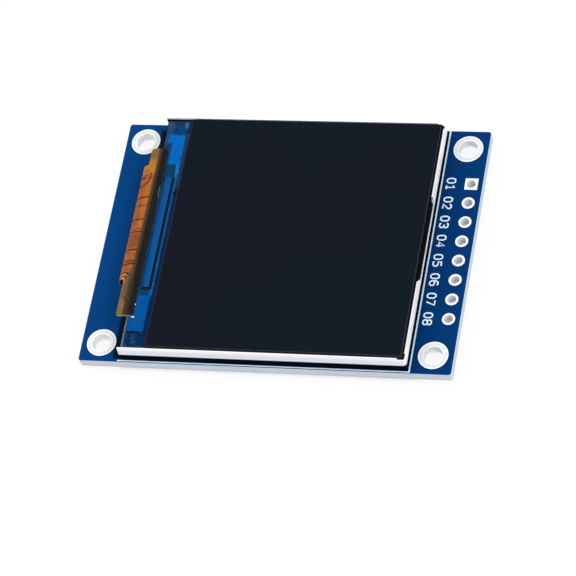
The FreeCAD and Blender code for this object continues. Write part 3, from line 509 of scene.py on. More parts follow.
def coating_look():
    """Protective coating on the ledge: bright blue fields, teal by the chip, navy beyond, with painted shade
    by the film, the chip and the edges, painted light on the left edge, and painted reflections and glints.
    """
    look = Look("blue_coating")
    x, y, _ = look.coordinates()
    ripple = look.noise(0.7, 3.0, 0.55)
    blotches = look.noise(0.9, 3.0, 0.65)
    fine = look.noise(0.25, 3.0, 0.6, (0.6, 1.6, 1.0))
    navy = look.mix(ripple, srgb(0, 24, 58), srgb(4, 42, 84))
    mottled = look.ramp(blotches, [(0.3, srgb(2, 34, 72)), (0.5, srgb(8, 52, 96)), (0.72, srgb(20, 84, 134))])
    colour = look.lay(navy, mottled, look.patch(*MOTTLED_END))
    colour = look.lay(colour, srgb(30, 66, 110), look.patch(*WORN_END), look.step(blotches, 0.5, 0.75))
    # Painted reflection at the back-left corner and a painted glint at the back-right corner
    colour = look.lay(colour, srgb(54, 66, 90), look.patch(*CORNER_REFLECTION), 0.7)
    colour = look.lay(colour, srgb(96, 140, 190), look.patch(*CORNER_GLINT), 0.45)

    strip = look.mix(fine, srgb(8, 56, 104), srgb(24, 92, 148))
    strip = look.lay(strip, srgb(20, 98, 174), look.band(y, *STRIP_GLOW))
    # Painted blue glints in the strip
    specks = look.step(look.noise(0.22, 2.0, 0.6, (1.0, 2.0, 1.0)), 0.62, 0.7, 0.0, 0.6)
    strip = look.lay(strip, srgb(58, 132, 172), specks)
    colour = look.lay(colour, strip, look.patch(*PALE_STRIP))
    colour = look.lay(colour, srgb(6, 50, 92), look.patch(*BEHIND_CHIP))
    teal = look.mix(ripple, srgb(6, 42, 70), srgb(12, 62, 94))
    colour = look.lay(colour, teal, look.any_of([look.patch(*area) for area in TEAL_SQUARES]))

    # Painted reflection: the bright fields grow lighter towards the back
    along = look.step(y, -14.0, 13.0)
    bright = look.mix(along, srgb(0, 72, 137), srgb(0, 92, 170))
    rippled = look.mix(along, srgb(2, 82, 149), srgb(4, 99, 184))
    bright = look.lay(bright, rippled, look.step(ripple, 0.45, 0.7, 0.0, 0.5))
    colour = look.lay(colour, bright, look.any_of([look.patch(*area) for area in BRIGHT_FIELDS]))
    # Painted reflection on the coating by the screen
    colour = look.lay(colour, srgb(44, 84, 124), look.patch(*SCREEN_REFLECTION), 0.4)
    colour = look.lay(colour, srgb(6, 32, 64), look.patch(*BEND_SHADE), 0.85)
    # Painted shade along the left edge at the back end
    at_edge = look.step(x, -15.5, -16.15)
    colour = look.lay(colour, srgb(32, 62, 98), at_edge, look.band(y, *EDGE_SHADE_REACH), 0.8)
    colour = look.lay(colour, srgb(3, 32, 60), look.patch(*FILM_SHADE), 0.65)
    # Painted shade along edges, and a small dark dot
    colour = look.lay(colour, srgb(2, 7, 18), look.any_of([look.patch(*line) for line in DARK_LINES]), 0.9)
    # Painted light on the left edge, stronger towards the front end
    wear_and_edge_light = look.times(look.patch(*LIT_LEFT_EDGE), look.step(y, -11.0, -15.0, 0.3, 0.8))
    colour = look.lay(colour, srgb(72, 100, 126), wear_and_edge_light)
    look.bump(ripple, 0.01, 0.5)
    return look.finish(colour, look.step(ripple, 0.3, 0.7, 0.2, 0.34), specular=0.15, tint=BLUE_GLOSS)


def chip_look():
    """Polished silicon with a painted reflection of the blue beside it on its top, and dark sawn sides."""
    look = Look("chip_silicon")
    x = look.coordinates()[0]
    streak = look.noise(1.2, 3.0, 0.5, (0.4, 3.0, 1.0))
    # Painted reflection of the blue beside the chip, lighter towards the right
    top = look.mix(streak, srgb(6, 54, 104), srgb(16, 76, 136))
    top = look.lay(top, srgb(4, 82, 154), look.step(x, CHIP_LOW.x + 0.1, CHIP_HIGH.x), 0.7)
    upward = look.step(look.facing("Z"), 0.4, 0.6)
    look.bump(streak, 0.003, 0.3)
    return look.finish(look.mix(upward, srgb(1, 4, 12), top), 0.22, specular=0.1, tint=BLUE_GLOSS)


# Traces on the bent film: place and half width of the cross ones, centre, radius and reach of the
# arcs, and left, right, low and high edge of the straight ones
CROSS_TRACES = [
    (4.55, 0.09), (3.4, 0.05), (1.55, 0.08), (-0.15, 0.07), (-2.55, 0.09), (-4.02, 0.08), (-4.42, 0.08),
]
ARC_TRACES = [
    (-18.1, 7.2, 1.02, 5.9, 7.2), (-17.82, -6.48, 0.9, -6.0, -5.4), (-17.82, -6.48, 0.45, -6.5, -5.9),
]
STRAIGHT_TRACES = [
    (-17.14, -17.02, 7.2, 7.9), (-17.42, -17.34, -8.9, -6.5), (-17.42, -16.7, -8.98, -8.9),
    (-18.14, -17.78, 7.04, 7.36), (-18.0, -17.4, 7.5, 7.6), (-17.95, -17.45, 8.15, 8.26),
]
ARC_HALF_WIDTH = 0.1

# Stretches along the bent film: low and high end, and how soft they are
GOLD_REACH = (7.6, 9.6, 0.5)
COPPER_REACH = (-5.3, 7.8, 0.35)
OUTER_COPPER_REACH = (-6.5, 0.0, 0.1)
GREY_REACH = (-9.6, -5.2, 0.4)
SHADE_REACH = (-2.2, -0.5, 0.25)

# Areas on the film: left, right, low and high edge, and how soft they are
CREST_GLOW = (-17.4, -16.8, 0.5, 7.2, 0.14)
CURL = (-18.6, -17.5, -6.9, -5.6, 0.12)
FRONT_BROWN = (CREST_X - 0.1, CREST_X + 0.48, -11.5, -6.5, 0.2)
FILM_END_GLINT = (-15.7, -15.58, 4.6, 6.0, 0.05)

# Height of the painted highlight along the outside of the bend
GLINT_LOW = (FLEX_LOW.z + FLEX_HIGH.z) / 2 + 0.24
GLINT_HIGH = GLINT_LOW + 0.24


def trace_mask(look):
    """1 on the traces of the bent film."""
    x, y, _ = look.coordinates()
    traces = [look.band(y, place - half, place + half, 0.05) for place, half in CROSS_TRACES]
    for centre_x, centre_y, radius, low, high in ARC_TRACES:
        away = distance(look, look.calc("SUBTRACT", x, centre_x), look.calc("SUBTRACT", y, centre_y))
        arc = look.band(away, radius - ARC_HALF_WIDTH, radius + ARC_HALF_WIDTH, 0.05)
        traces.append(look.times(arc, look.band(y, low, high, 0.02)))
    traces += [look.patch(*trace, soft=0.04) for trace in STRAIGHT_TRACES]
    return look.times(look.any_of(traces), look.step(x, CREST_X + 0.15, CREST_X - 0.1))


def flex_look():
    """Amber film over copper: dark where it lies on the glass, orange round the bend, with a painted glow on
    the crest, a band of painted shade, painted highlights along the outside of the bend and at the film's
    end, and painted shade on its cut end.
    """
    look = Look("amber_film")
    x, y, z = look.coordinates()
    cloudy = look.noise(1.1, 3.0, 0.55)
    streaks = look.noise(0.5, 3.0, 0.6, (3.0, 0.5, 1.0))
    fine = look.noise(0.12, 2.0, 0.6)
    amber = look.mix(cloudy, srgb(102, 82, 46), srgb(136, 101, 54))
    gold = look.mix(cloudy, srgb(160, 98, 28), srgb(186, 122, 40))
    copper = look.mix(cloudy, srgb(144, 72, 24), srgb(174, 95, 39))
    copper = look.lay(copper, srgb(108, 60, 34), look.step(streaks, 0.42, 0.68, 0.0, 0.8))
    brown = look.mix(cloudy, srgb(56, 45, 35), srgb(80, 63, 49))
    dark = look.mix(cloudy, srgb(13, 15, 16), srgb(27, 25, 23))
    grey = look.mix(cloudy, srgb(44, 42, 40), srgb(70, 66, 62))

    warm = look.lay(amber, gold, look.band(y, *GOLD_REACH))
    outer_copper = look.times(look.band(y, *OUTER_COPPER_REACH), look.step(x, -17.45, -17.65))
    warm = look.lay(warm, copper, look.calc("MAXIMUM", look.band(y, *COPPER_REACH), outer_copper))
    warm = look.lay(warm, grey, look.band(y, *GREY_REACH), look.step(x, -17.3, -17.0), 0.75)
    warm = look.lay(warm, srgb(190, 112, 54), look.patch(*CREST_GLOW), 0.35)
    warm = look.lay(warm, srgb(100, 54, 30), look.band(y, *SHADE_REACH), 0.5)
    # Painted highlight along the outside of the bend
    outside = look.step(x, FLEX_LOW.x + 0.2, FLEX_LOW.x + 0.08)
    warm = look.lay(warm, srgb(206, 180, 156), outside, look.band(z, GLINT_LOW, GLINT_HIGH, 0.1), 0.45)
    warm = look.lay(warm, srgb(222, 132, 62), look.patch(*CURL), 0.8)

    across = look.calc("SUBTRACT", x, look.times(y, CREST_SLANT))
    colour = look.lay(dark, brown, look.step(across, CREST_X + 0.55, CREST_X + 0.1))
    colour = look.lay(colour, srgb(52, 43, 30), look.patch(*FRONT_BROWN), 0.7)
    colour = look.lay(colour, srgb(10, 28, 42), look.step(x, -15.74, -15.62), 0.8)
    # Painted glint along the film's end on the glass
    colour = look.lay(colour, srgb(84, 130, 140), look.patch(*FILM_END_GLINT), 0.5)
    colour = look.lay(colour, warm, look.step(across, CREST_X + 0.1, CREST_X - 0.15))
    # Painted shade on the film's cut end, which faces right
    colour = look.lay(colour, srgb(6, 20, 32), look.step(look.facing("X"), 0.4, 0.7))
    cut_end = look.step(y, FLEX_LOW.y + 0.16, FLEX_LOW.y + 0.04)
    colour = look.lay(colour, srgb(170, 150, 96), cut_end, 0.55)
    trace = trace_mask(look)
    colour = look.lay(colour, srgb(40, 12, 2), trace, 0.9)
    look.bump(look.calc("SUBTRACT", look.times(fine, 0.3), trace), 0.03, 0.8)
    return look.finish(colour, look.step(cloudy, 0.3, 0.7, 0.3, 0.42), specular=0.08, tint=AMBER_GLOSS)


def plain_look(name, first, second, size, roughness, metallic=0.0, specular=0.5):
    """Two close colours in a noise, with a matching relief and a little more or less gloss."""
    look = Look(name)
    noise = look.noise(size, 3.0, 0.55)
    look.bump(noise, 0.01, 0.6)
    colour = look.mix(noise, srgb(*first), srgb(*second))
    return look.finish(colour, look.step(noise, 0.3, 0.7, roughness, roughness + 0.1), metallic, specular)


# Pieces that are added to the frame

def add_piece(name, mesh, material, smooth=False):
    """Put a mesh in the scene as a piece of the module."""
    if smooth:
        for polygon in mesh.polygons:
            polygon.use_smooth = True
    piece = bpy.data.objects.new(name, mesh)
    bpy.context.collection.objects.link(piece)
    mesh.materials.append(material)
    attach(piece, "root")


def add_form(name, form, material, smooth=False):
    """Turn a finished form into a piece."""
    bmesh.ops.recalc_face_normals(form, faces=form.faces)
    mesh = bpy.data.meshes.new(name)
    form.to_mesh(mesh)
    form.free()
    add_piece(name, mesh, material, smooth)


def add_skin(form, rings):
    """Close rings of vertices, one after the other, to a solid."""
    for ring, following in zip(rings, rings[1:]):
        for side in range(len(ring)):
            after = (side + 1) % len(ring)
            form.faces.new((ring[side], ring[after], following[after], following[side]))
    form.faces.new(rings[0])
    form.faces.new(reversed(rings[-1]))


# A mitred corner is at most as wide as the line divided by this
MITRE_LIMIT = 0.3


def add_ribbon(form, points, width, bottom, height):
    """Add a flat line of ink or film with mitred corners, lying on a surface."""
    spots = [Vector(point) for point in points]
    ways = [(after - before).normalized() for before, after in zip(spots, spots[1:])]
    rings = []
    for index, here in enumerate(spots):
        near = ways[max(0, index - 1):index + 1]
        along = sum(near, Vector((0, 0))).normalized()
        across = Vector((-along.y, along.x))
        narrowing = abs(across.dot(Vector((-near[0].y, near[0].x))))
        half = width / 2 / max(MITRE_LIMIT, narrowing)
        ring = []
        for side, lift in ((1, 0), (1, height), (-1, height), (-1, 0)):
            place = here + across * half * side
            ring.append(form.verts.new((place.x * MM, place.y * MM, (bottom + lift) * MM)))
        rings.append(ring)
    add_skin(form, rings)


# Strokes of plain numerals on a cell 2 wide and 4 high
NUMERALS = {
    "0": [[(0, 1), (0, 3), (0.5, 4), (1.5, 4), (2, 3), (2, 1), (1.5, 0), (0.5, 0), (0, 1)]],
    "1": [[(0.2, 3.2), (1, 4), (1, 0)], [(0.2, 0), (1.8, 0)]],
    "2": [[(0, 3.2), (0.5, 4), (1.5, 4), (2, 3.3), (2, 2.6), (0, 0), (2, 0)]],
    "3": [[(0, 3.5), (0.5, 4), (1.5, 4), (2, 3.4), (2, 2.6), (1.4, 2.1), (0.7, 2.1)],
          [(1.4, 2.1), (2, 1.5), (2, 0.6), (1.5, 0), (0.5, 0), (0, 0.5)]],
    "4": [[(1.5, 0), (1.5, 4), (0, 1.2), (2, 1.2)]],
    "5": [[(1.9, 4), (0.2, 4), (0.1, 2.4), (1.4, 2.4), (2, 1.8), (2, 0.7), (1.4, 0), (0.5, 0), (0, 0.5)]],
    "6": [[(1.8, 3.6), (1.4, 4), (0.6, 4), (0, 3), (0, 0.8), (0.5, 0), (1.5, 0), (2, 0.7),
           (2, 1.6), (1.5, 2.2), (0.5, 2.2), (0, 1.6)]],
    "7": [[(0, 4), (2, 4), (0.7, 0)]],
    "8": [[(0.5, 2.1), (0, 2.7), (0, 3.4), (0.5, 4), (1.5, 4), (2, 3.4), (2, 2.7), (1.5, 2.1), (0.5, 2.1),
           (0, 1.5), (0, 0.6), (0.5, 0), (1.5, 0), (2, 0.6), (2, 1.5), (1.5, 2.1)]],
}
NUMERAL_CELL_HEIGHT = 4

# Size of a printed numeral, the way to the next one, and its stretch across
NUMERAL_HEIGHT = 0.96
NUMERAL_ADVANCE = 0.9
NUMERAL_STRETCH = 1.24

# Pin numbers on top and on the back: the line they stand on, how far they start from the hole's
# axis, and the width, thickness and lift of their strokes; then how round the strokes are
TOP_NUMBERS = {"base": 17.66, "start": 0.7, "width": 0.19, "thickness": 0.02, "lift": 0.005}
BACK_NUMBERS = {"base": 17.6, "start": 0.3, "width": 0.16, "thickness": 0.06, "lift": 0.0}
STROKE_ROUNDNESS = 3


def numeral_strokes(text, left, base):
    """Stroke points of a number that reads towards -Y with its top towards +X."""
    unit = NUMERAL_HEIGHT / NUMERAL_CELL_HEIGHT
    strokes = []
    for place, digit in enumerate(text):
        start = left - place * NUMERAL_ADVANCE
        for stroke in NUMERALS[digit]:
            points = [(base + up * unit, start - right * unit * NUMERAL_STRETCH) for right, up in stroke]
            strokes.append(points)
    return strokes


def add_number(name, strokes, surface, style, ink):
    """Ink strokes with closed ends as one flat mesh, partly sunk in the board's mask."""
    data = bpy.data.curves.new(name, "CURVE")
    data.dimensions = "3D"
    data.bevel_depth = style["width"] / 2 * MM
    data.bevel_resolution = STROKE_ROUNDNESS
    data.use_fill_caps = True
    for stroke in strokes:
        spline = data.splines.new("POLY")
        spline.points.add(len(stroke) - 1)
        for point, (x, y) in zip(spline.points, stroke):
            point.co = (x * MM, y * MM, 0, 1)
    holder = bpy.data.objects.new(name, data)
    mesh = bpy.data.meshes.new_from_object(holder)
    bpy.data.objects.remove(holder)
    flatten = Matrix.Diagonal((1, 1, style["thickness"] / style["width"], 1))
    mesh.transform(Matrix.Translation((0, 0, (surface + style["lift"]) * MM)) @ flatten)
    add_piece(name, mesh, ink, smooth=True)


# Heights of what is printed on the board or lies under its mask
INK_HEIGHT = 0.015
BACK_INK_HEIGHT = 0.03
TRACK_HEIGHT = 0.02

# Printed outline round the display: middles of its two lines, where they begin and end, and widths
OUTLINE_RIGHT = 17.06
OUTLINE_FRONT = -15.83
OUTLINE_LEFT_END = -17.2
OUTLINE_BACK_END = BOARD_HIGH.y - 0.02
RIGHT_LINE_WIDTH = 0.17
FRONT_LINE_WIDTH = 0.13

# Parts under the board: middles of the packages; middles and half sizes of the outlines round the rest
PACKAGES = [(10.0, 6.4), (10.0, -6.6)]
PASSIVES = [
    (13.6, 6.4, 0.72, 1.35), (6.6, 6.4, 0.72, 1.35), (-9.6, 6.2, 1.35, 0.72), (-9.6, -4.4, 1.35, 0.72),
    (13.4, -6.6, 0.72, 1.35), (6.8, -6.6, 0.72, 1.35), (13.4, -3.2, 0.72, 1.35),
]
CERAMIC_CAPACITORS = [(13.6, 6.4), (6.6, 6.4), (-9.6, 6.2), (-9.6, -4.4)]

# Outlines on the back: line width, half of a package's outline, half the gap in the outline of a
# smaller part, and the right end, left side and reach of the bracket round the header row
BACK_LINE_WIDTH = 0.14
PACKAGE_OUTLINE = [(-0.85, 0.55), (-0.85, 1.7), (0.9, 1.7), (0.9, 1.4)]
HALF_GAP = 0.25
ROW_BRACKET_END = 21.5
ROW_BRACKET_LEFT = PIN_ROW_X - 1.25
ROW_BRACKET_REACH = PIN_ROW_REACH + 0.15


def half_outline(x, y, across, along, side):
    """Half an outline round a part, open at the middle of its long sides."""
    if along > across:
        return [(x - across, y + HALF_GAP * side), (x - across, y + along * side),
                (x + across, y + along * side), (x + across, y + HALF_GAP * side)]
    return [(x + HALF_GAP * side, y - along), (x + across * side, y - along),
            (x + across * side, y + along), (x + HALF_GAP * side, y + along)]


def add_top_print(ink):
    """Printed outline round the display and the pin numbers."""
    form = bmesh.new()
    right_line = [(OUTLINE_RIGHT, OUTLINE_FRONT - FRONT_LINE_WIDTH / 2), (OUTLINE_RIGHT, OUTLINE_BACK_END)]
    front_line = [(OUTLINE_LEFT_END, OUTLINE_FRONT), (OUTLINE_RIGHT - RIGHT_LINE_WIDTH / 2, OUTLINE_FRONT)]
    add_ribbon(form, right_line, RIGHT_LINE_WIDTH, BOARD_TOP, INK_HEIGHT)
    add_ribbon(form, front_line, FRONT_LINE_WIDTH, BOARD_TOP, INK_HEIGHT)
    add_form("printed_outline", form, ink)
    for pin in range(PIN_COUNT):
        start = FIRST_PIN_Y - PIN_PITCH * pin + TOP_NUMBERS["start"]
        strokes = numeral_strokes(f"0{pin + 1}", start, TOP_NUMBERS["base"])
        add_number(f"pin_number_{pin + 1}", strokes, BOARD_TOP, TOP_NUMBERS, ink)


def add_back_print(ink):
    """Outlines of the parts under the board, a bracket round the header row and its pin numbers."""
    outlines = []
    for x, y in PACKAGES:
        for side in (-1, 1):
            outlines.append([(x + across, y + along * side) for across, along in PACKAGE_OUTLINE])
    for part in PASSIVES:
        outlines += [half_outline(*part, side) for side in (-1, 1)]
    left, reach = ROW_BRACKET_LEFT, ROW_BRACKET_REACH
    outlines.append([(ROW_BRACKET_END, reach), (left, reach), (left, -reach), (ROW_BRACKET_END, -reach)])
    form = bmesh.new()
    for points in outlines:
        add_ribbon(form, points, BACK_LINE_WIDTH, BOARD_LOW.z - BACK_INK_HEIGHT, BACK_INK_HEIGHT)
    add_form("back_outlines", form, ink)
    for pin in range(PIN_COUNT):
        middle = FIRST_PIN_Y - PIN_PITCH * pin
        strokes = numeral_strokes(str(pin + 1), middle + BACK_NUMBERS["start"], BACK_NUMBERS["base"])
        mirrored = [[(x, 2 * middle - y) for x, y in stroke] for stroke in strokes]
        add_number(f"back_number_{pin + 1}", mirrored, BOARD_LOW.z, BACK_NUMBERS, ink)


# Copper tracks under the board: width and route of each
TRACKS = [
    (0.5, [(19.9, 6.6), (19.1, 7.2), (14.0, 7.2)]), (0.5, [(13.2, 7.3), (11.4, 7.35)]),
    (0.5, [(8.6, 6.4), (8.1, 6.4), (7.45, 7.05), (7.0, 7.15)]),
    (0.35, [(6.2, 7.15), (5.4, 7.15), (4.55, 6.3), (-8.6, 6.25)]),
    (0.35, [(-10.6, 6.2), (-11.3, 5.5), (-11.3, -3.7), (-10.6, -4.4)]),
    (0.26, [(19.85, 3.81), (1.4, 3.81), (0.6, 3.0), (0.6, 2.5)]),
    (0.26, [(19.85, 1.27), (-2.2, 1.27), (-3.0, 2.07)]),
    (0.26, [(19.85, -1.27), (-1.6, -1.27), (-2.5, -0.37)]),
    (0.26, [(19.85, -3.81), (15.9, -3.81), (14.55, -2.46), (13.8, -2.46)]),
    (0.26, [(13.4, -4.2), (13.4, -5.6)]), (0.26, [(13.0, -5.85), (12.4, -5.65), (11.4, -5.65)]),
    (0.3, [(13.8, -7.4), (14.6, -7.4), (15.65, -6.35), (19.85, -6.35)]),
    (0.5, [(11.4, -7.6), (11.9, -7.6), (13.15, -8.85), (19.9, -8.85)]),
    (0.4, [(8.6, -6.6), (8.2, -6.6), (7.45, -5.85), (7.2, -5.8)]),
    (0.35, [(6.4, -7.4), (-3.8, -7.4)]), (0.35, [(-8.6, -4.4), (-7.4, -4.4), (-6.6, -3.6), (-6.6, -3.0)]),
]

# Covered holes that join the two sides of the board, and radius and depth down their dome
VIAS = [
    (0.6, 2.5), (-3.0, 2.07), (-2.5, -0.37), (-3.8, -7.4), (-6.6, -3.0), (-15.5, 10.5), (-15.5, 0.0),
    (-15.5, -10.5), (-5.5, 12.6), (5.5, 12.6), (15.0, 12.2), (-5.5, -12.6), (5.5, -12.6), (15.0, -12.2),
    (9.0, 9.2), (9.6, -3.4),
]
VIA_PROFILE = [(0.32, 0.0), (0.28, 0.028), (0.17, 0.03), (0.1, 0.014), (0.05, 0.01)]
VIA_SIDES = 24


def add_tracks():
    """Copper tracks and covered holes that show through the mask under the board."""
    copper = track_look()
    form = bmesh.new()
    for width, points in TRACKS:
        add_ribbon(form, points, width, BOARD_LOW.z - TRACK_HEIGHT, TRACK_HEIGHT)
    add_form("back_tracks", form, copper)
    form = bmesh.new()
    turns = [math.tau * side / VIA_SIDES for side in range(VIA_SIDES)]
    for x, y in VIAS:
        rings = []
        for radius, depth in VIA_PROFILE:
            spots = [(x + radius * math.cos(turn), y + radius * math.sin(turn)) for turn in turns]
            rings.append([form.verts.new((a * MM, b * MM, (BOARD_LOW.z - depth) * MM)) for a, b in spots])
        add_skin(form, rings)
    add_form("back_vias", form, copper)


# Solder fillets: half width, reach and rise at a tall cap, a flat cap and a lead, and where they sit
TALL_CAP_FILLET = (0.4, 0.22, 0.5)
FLAT_CAP_FILLET = (0.4, 0.22, 0.3)
LEAD_FILLET = (0.2, 0.2, 0.1)
CAP_END = 0.8
LEAD_END = 1.2
LEAD_ROWS = [(-1, 0.0), (1, 0.95), (1, -0.95)]

# Their steps, how much narrower they are at the part, and how deep the toe and base sink in the land
FILLET_STEPS = 4
FILLET_TAPER = 0.14
FILLET_TOE = 0.01
FILLET_BASE = 0.012


def add_fillet(form, end, outward, half_width, reach, rise):
    """Concave wedge of solder on a land under the board, from its outer end up to the part."""
    sideways = Vector((-outward.y, outward.x, 0))
    base = BACK_LAND_LOW + FILLET_BASE
    rows = []
    for step in range(FILLET_STEPS + 1):
        share = step / FILLET_STEPS
        place = end + outward * reach * (1 - share)
        low = BACK_LAND_LOW + FILLET_TOE - rise * share ** 2
        half = half_width * (1 - FILLET_TAPER * share)
        rows.append([form.verts.new((place + sideways * half * side + Vector((0, 0, depth))) * MM)
                     for side, depth in ((-1, base), (-1, low), (1, low), (1, base))])
    add_skin(form, rows)


def add_solder(tin):
    """Solder fillets at every cap and lead under the board, as one piece."""
    form = bmesh.new()
    for x, y, across, along in PASSIVES:
        outward = Vector((0, 1, 0)) if along > across else Vector((1, 0, 0))
        fillet = TALL_CAP_FILLET if (x, y) in CERAMIC_CAPACITORS else FLAT_CAP_FILLET
        for side in (-1, 1):
            add_fillet(form, Vector((x, y, 0)) + outward * CAP_END * side, outward * side, *fillet)
    for x, y in PACKAGES:
        for side, along in LEAD_ROWS:
            end = Vector((x + LEAD_END * side, y + along, 0))
            add_fillet(form, end, Vector((side, 0, 0)), *LEAD_FILLET)
    add_form("solder_fillets", form, tin)


# Near-white beads on the ledge, white as painted glints: middle and half sizes; then their lift, half height
# and unevenness, and how fast that changes across and along a bead
BEAD_GLINTS = [(-15.5, -11.45, 0.2, 0.08), (-15.53, -9.8, 0.05, 0.09)]
BEAD_LIFT = 0.02
BEAD_HALF_HEIGHT = 0.07
BEAD_SWELL = 0.12
BEAD_WAVES = (5, 3)


def add_bead_glints():
    """Two near-white glossy beads at the flexible circuit's edge on the glass, white as painted glints."""
    clear = plain_look("white_bead_glint", (226, 236, 242), (250, 252, 254), 0.15, 0.15)
    for number, (x, y, half_x, half_y) in enumerate(BEAD_GLINTS, start=1):
        form = bmesh.new()
        bmesh.ops.create_icosphere(form, subdivisions=3, radius=1.0)
        for vertex in form.verts:
            ball = vertex.co.copy()
            swell = 1 + BEAD_SWELL * math.sin(BEAD_WAVES[0] * ball.x + BEAD_WAVES[1] * ball.y)
            height = COATING_TOP + BEAD_LIFT + ball.z * BEAD_HALF_HEIGHT
            vertex.co = Vector((x + ball.x * half_x * swell, y + ball.y * half_y * swell, height)) * MM
        add_form(f"glint_bead_{number}", form, clear, smooth=True)


# Stage, camera and lights

# The floor in metres: its size, and how far it lies below the object
FLOOR_SIZE = 2.0
FLOOR_GAP = 0.00002

# The floor's paper, and how much of its white is its own glow: in the open, and in the board's outline, where
# it is painted lower so that the shadow shows deeper
FLOOR_COLOUR = (0.95, 0.95, 0.95, 1.0)
FLOOR_GLOW = 0.9
SHADOW_GLOW = 0.45

# How far that painted deeper shadow stays inside the board's outline, and where it starts round a mounting
# hole, below which the floor is painted light again
SHADOW_INSET = 0.5
SHADOW_START = (1.9, 3.2)


def add_floor():
    """Pale floor with a soft shadow, painted deepest under the board and painted light again below its
    mounting holes.
    """
    bpy.ops.mesh.primitive_plane_add(size=FLOOR_SIZE, location=(0, 0, cad_box[0][2] - FLOOR_GAP))
    floor = bpy.context.object
    floor.name = "floor"
    look = Look("floor")
    low = BOARD_LOW + Vector((SHADOW_INSET, SHADOW_INSET, 0))
    high = BOARD_HIGH - Vector((SHADOW_INSET, SHADOW_INSET, 0))
    below = look.patch(low.x, high.x, low.y, high.y, soft=SHADOW_INSET)
    below = look.times(below, look.step(from_mounting_hole(look), *SHADOW_START))
    own_share = look.step(below, 0.0, 1.0, FLOOR_GLOW, SHADOW_GLOW)
    paper = look.node("ShaderNodeBsdfDiffuse")
    paper.inputs["Color"].default_value = FLOOR_COLOUR
    glow = look.node("ShaderNodeEmission")
    blend = look.node("ShaderNodeMixShader")
    look.feed(blend.inputs[0], look.times(look.seen_by("Camera", "Glossy"), own_share))
    look.feed(blend.inputs[1], paper.outputs[0])
    look.feed(blend.inputs[2], glow.outputs[0])
    look.feed(look.tree.nodes["Material Output"].inputs[0], blend.outputs[0])
    look.tree.nodes.remove(look.shader)
    floor.data.materials.append(look.material)


# How strongly the surround lights the object
SURROUND_LEVEL = 0.8


def add_world():
    """Even studio surround, white where it is seen directly, mirrored or through glass."""
    world = bpy.data.worlds.new("surround")
    bpy.context.scene.world = world
    world.use_nodes = True
    nodes = Nodes(world.node_tree)
    back = nodes.tree.nodes["Background"]
    seen = nodes.seen_by("Camera", "Glossy", "Transmission")
    nodes.feed(back.inputs["Strength"], nodes.step(seen, 0.0, 1.0, SURROUND_LEVEL, 1.0))
    back.inputs["Color"].default_value = (1, 1, 1, 1)


# Soft lamps: name, place and size in metres, and power in watts
LAMPS = [("key", (0.45, -0.15, 0.43), 0.3, 1.8), ("fill", (-0.40, 0.00, 0.40), 0.35, 1.0)]


def add_lamps():
    """Square lamps that face the middle of the object."""
    for name, place, size, power in LAMPS:
        data = bpy.data.lights.new(name, "AREA")
        data.size = size
        data.energy = power
        lamp = bpy.data.objects.new(name, data)
        bpy.context.collection.objects.link(lamp)
        lamp.location = place
        lamp.rotation_euler = (-Vector(place)).to_track_quat("-Z", "Y").to_euler()


# The photograph's view: the camera's place, its right and down, and its focal length in pixels; then
# the width of its sensor in millimetres and the nearest thing it sees in metres
CAMERA_PLACE = Vector((115.4, -201.4, 342.22))
CAMERA_RIGHT = Vector((0.9598, 0.1681, -0.2247))
CAMERA_DOWN = Vector((0.0326, -0.8620, -0.5059))
FOCAL_PIXELS = 3602
FRAME_PIXELS = 576
SENSOR_WIDTH = 36
NEAREST_SEEN = 0.01


def add_camera():
    """Camera at the photograph's angle, with its slight roll."""
    data = bpy.data.cameras.new("camera")
    data.sensor_width = SENSOR_WIDTH
    data.lens = SENSOR_WIDTH * FOCAL_PIXELS / FRAME_PIXELS
    data.clip_start = NEAREST_SEEN
    camera = bpy.data.objects.new("camera", data)
    bpy.context.collection.objects.link(camera)
    right = CAMERA_RIGHT.normalized()
    up = (-CAMERA_DOWN - right * right.dot(-CAMERA_DOWN)).normalized()
    turn = Matrix((right, up, right.cross(up))).transposed().to_4x4()
    camera.matrix_world = Matrix.Translation(CAMERA_PLACE * MM) @ turn
    bpy.context.scene.camera = camera


def numbered(stem, count):
    """Names of nodes that differ in their number."""
    return [f"{stem}_{number}" for number in range(1, count + 1)]


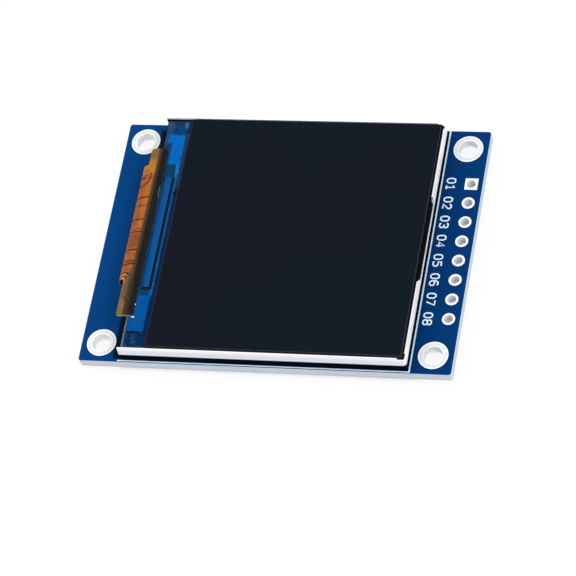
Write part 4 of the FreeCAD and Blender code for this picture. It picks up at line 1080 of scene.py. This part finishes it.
# Plain materials: name, two colours, size of the noise, roughness, other settings and their nodes
PLAIN_LOOKS = [
    ("white_film", (226, 228, 230), (240, 241, 242), 1.0, 0.5, {}, ["reflector_film", "diffuser_film"]),
    ("clear_sheet", (206, 216, 222), (226, 233, 238), 2.0, 0.2, {},
     ["light_guide", "lower_prism_film", "upper_prism_film"]),
    ("white_strip", (214, 214, 206), (232, 232, 226), 0.3, 0.45, {}, ["led_strip", *numbered("led", 3)]),
    ("package_plastic", (24, 24, 27), (40, 40, 44), 0.08, 0.5, {"specular": 0.35},
     ["regulator", "backlight_transistor"]),
    ("lead_tin", (176, 178, 184), (214, 215, 220), 0.2, 0.28, {"metallic": 0.9},
     [name for name in frame["nodes"] if name.endswith(("_leads", "_ends"))]),
    ("capacitor_ceramic", (132, 100, 74), (158, 124, 94), 0.15, 0.4, {}, numbered("capacitor", 4)),
    ("resistor_glaze", (18, 18, 20), (34, 34, 37), 0.12, 0.3, {}, numbered("resistor", 3)),
]


def dress(material, *nodes):
    """Give CAD nodes a material in every slot."""
    for name in nodes:
        for slot in frame["nodes"][name].material_slots:
            slot.material = material


def dress_nodes(tin):
    """Materials of the CAD nodes."""
    dress(board_look(), "board")
    dress(ring_look(), *numbered("mounting_ring", 4))
    dress(pad_look(), *numbered("header_pad", PIN_COUNT))
    dress(tin, "flex_lands", "back_lands")
    dress(foam_look(), "foam_seat")
    dress(tray_look(), "backlight_tray")
    dress(black_plastic_look("frame_plastic", 0.1), "moulded_frame")
    dress(black_plastic_look("black_tape", 0.3), "rim_tape")
    dress(screen_look(), "front_polarizer", "rear_polarizer")
    dress(glass_look(), "array_glass", "filter_glass")
    dress(coating_look(), "ledge_coating")
    dress(chip_look(), "driver_chip")
    dress(flex_look(), "display_flex")
    for name, first, second, size, roughness, more, nodes in PLAIN_LOOKS:
        dress(plain_look(name, first, second, size, roughness, **more), *nodes)


solder_tin = tin_look()
dress_nodes(solder_tin)
printed_ink = plain_look("printed_ink", (216, 238, 254), (236, 249, 255), 0.2, 0.6, specular=0.1)
add_top_print(printed_ink)
add_back_print(printed_ink)
add_tracks()
add_solder(solder_tin)
add_bead_glints()
add_floor()
add_world()
add_lamps()
add_camera()
bpy.context.scene.view_settings.view_transform = "Standard"
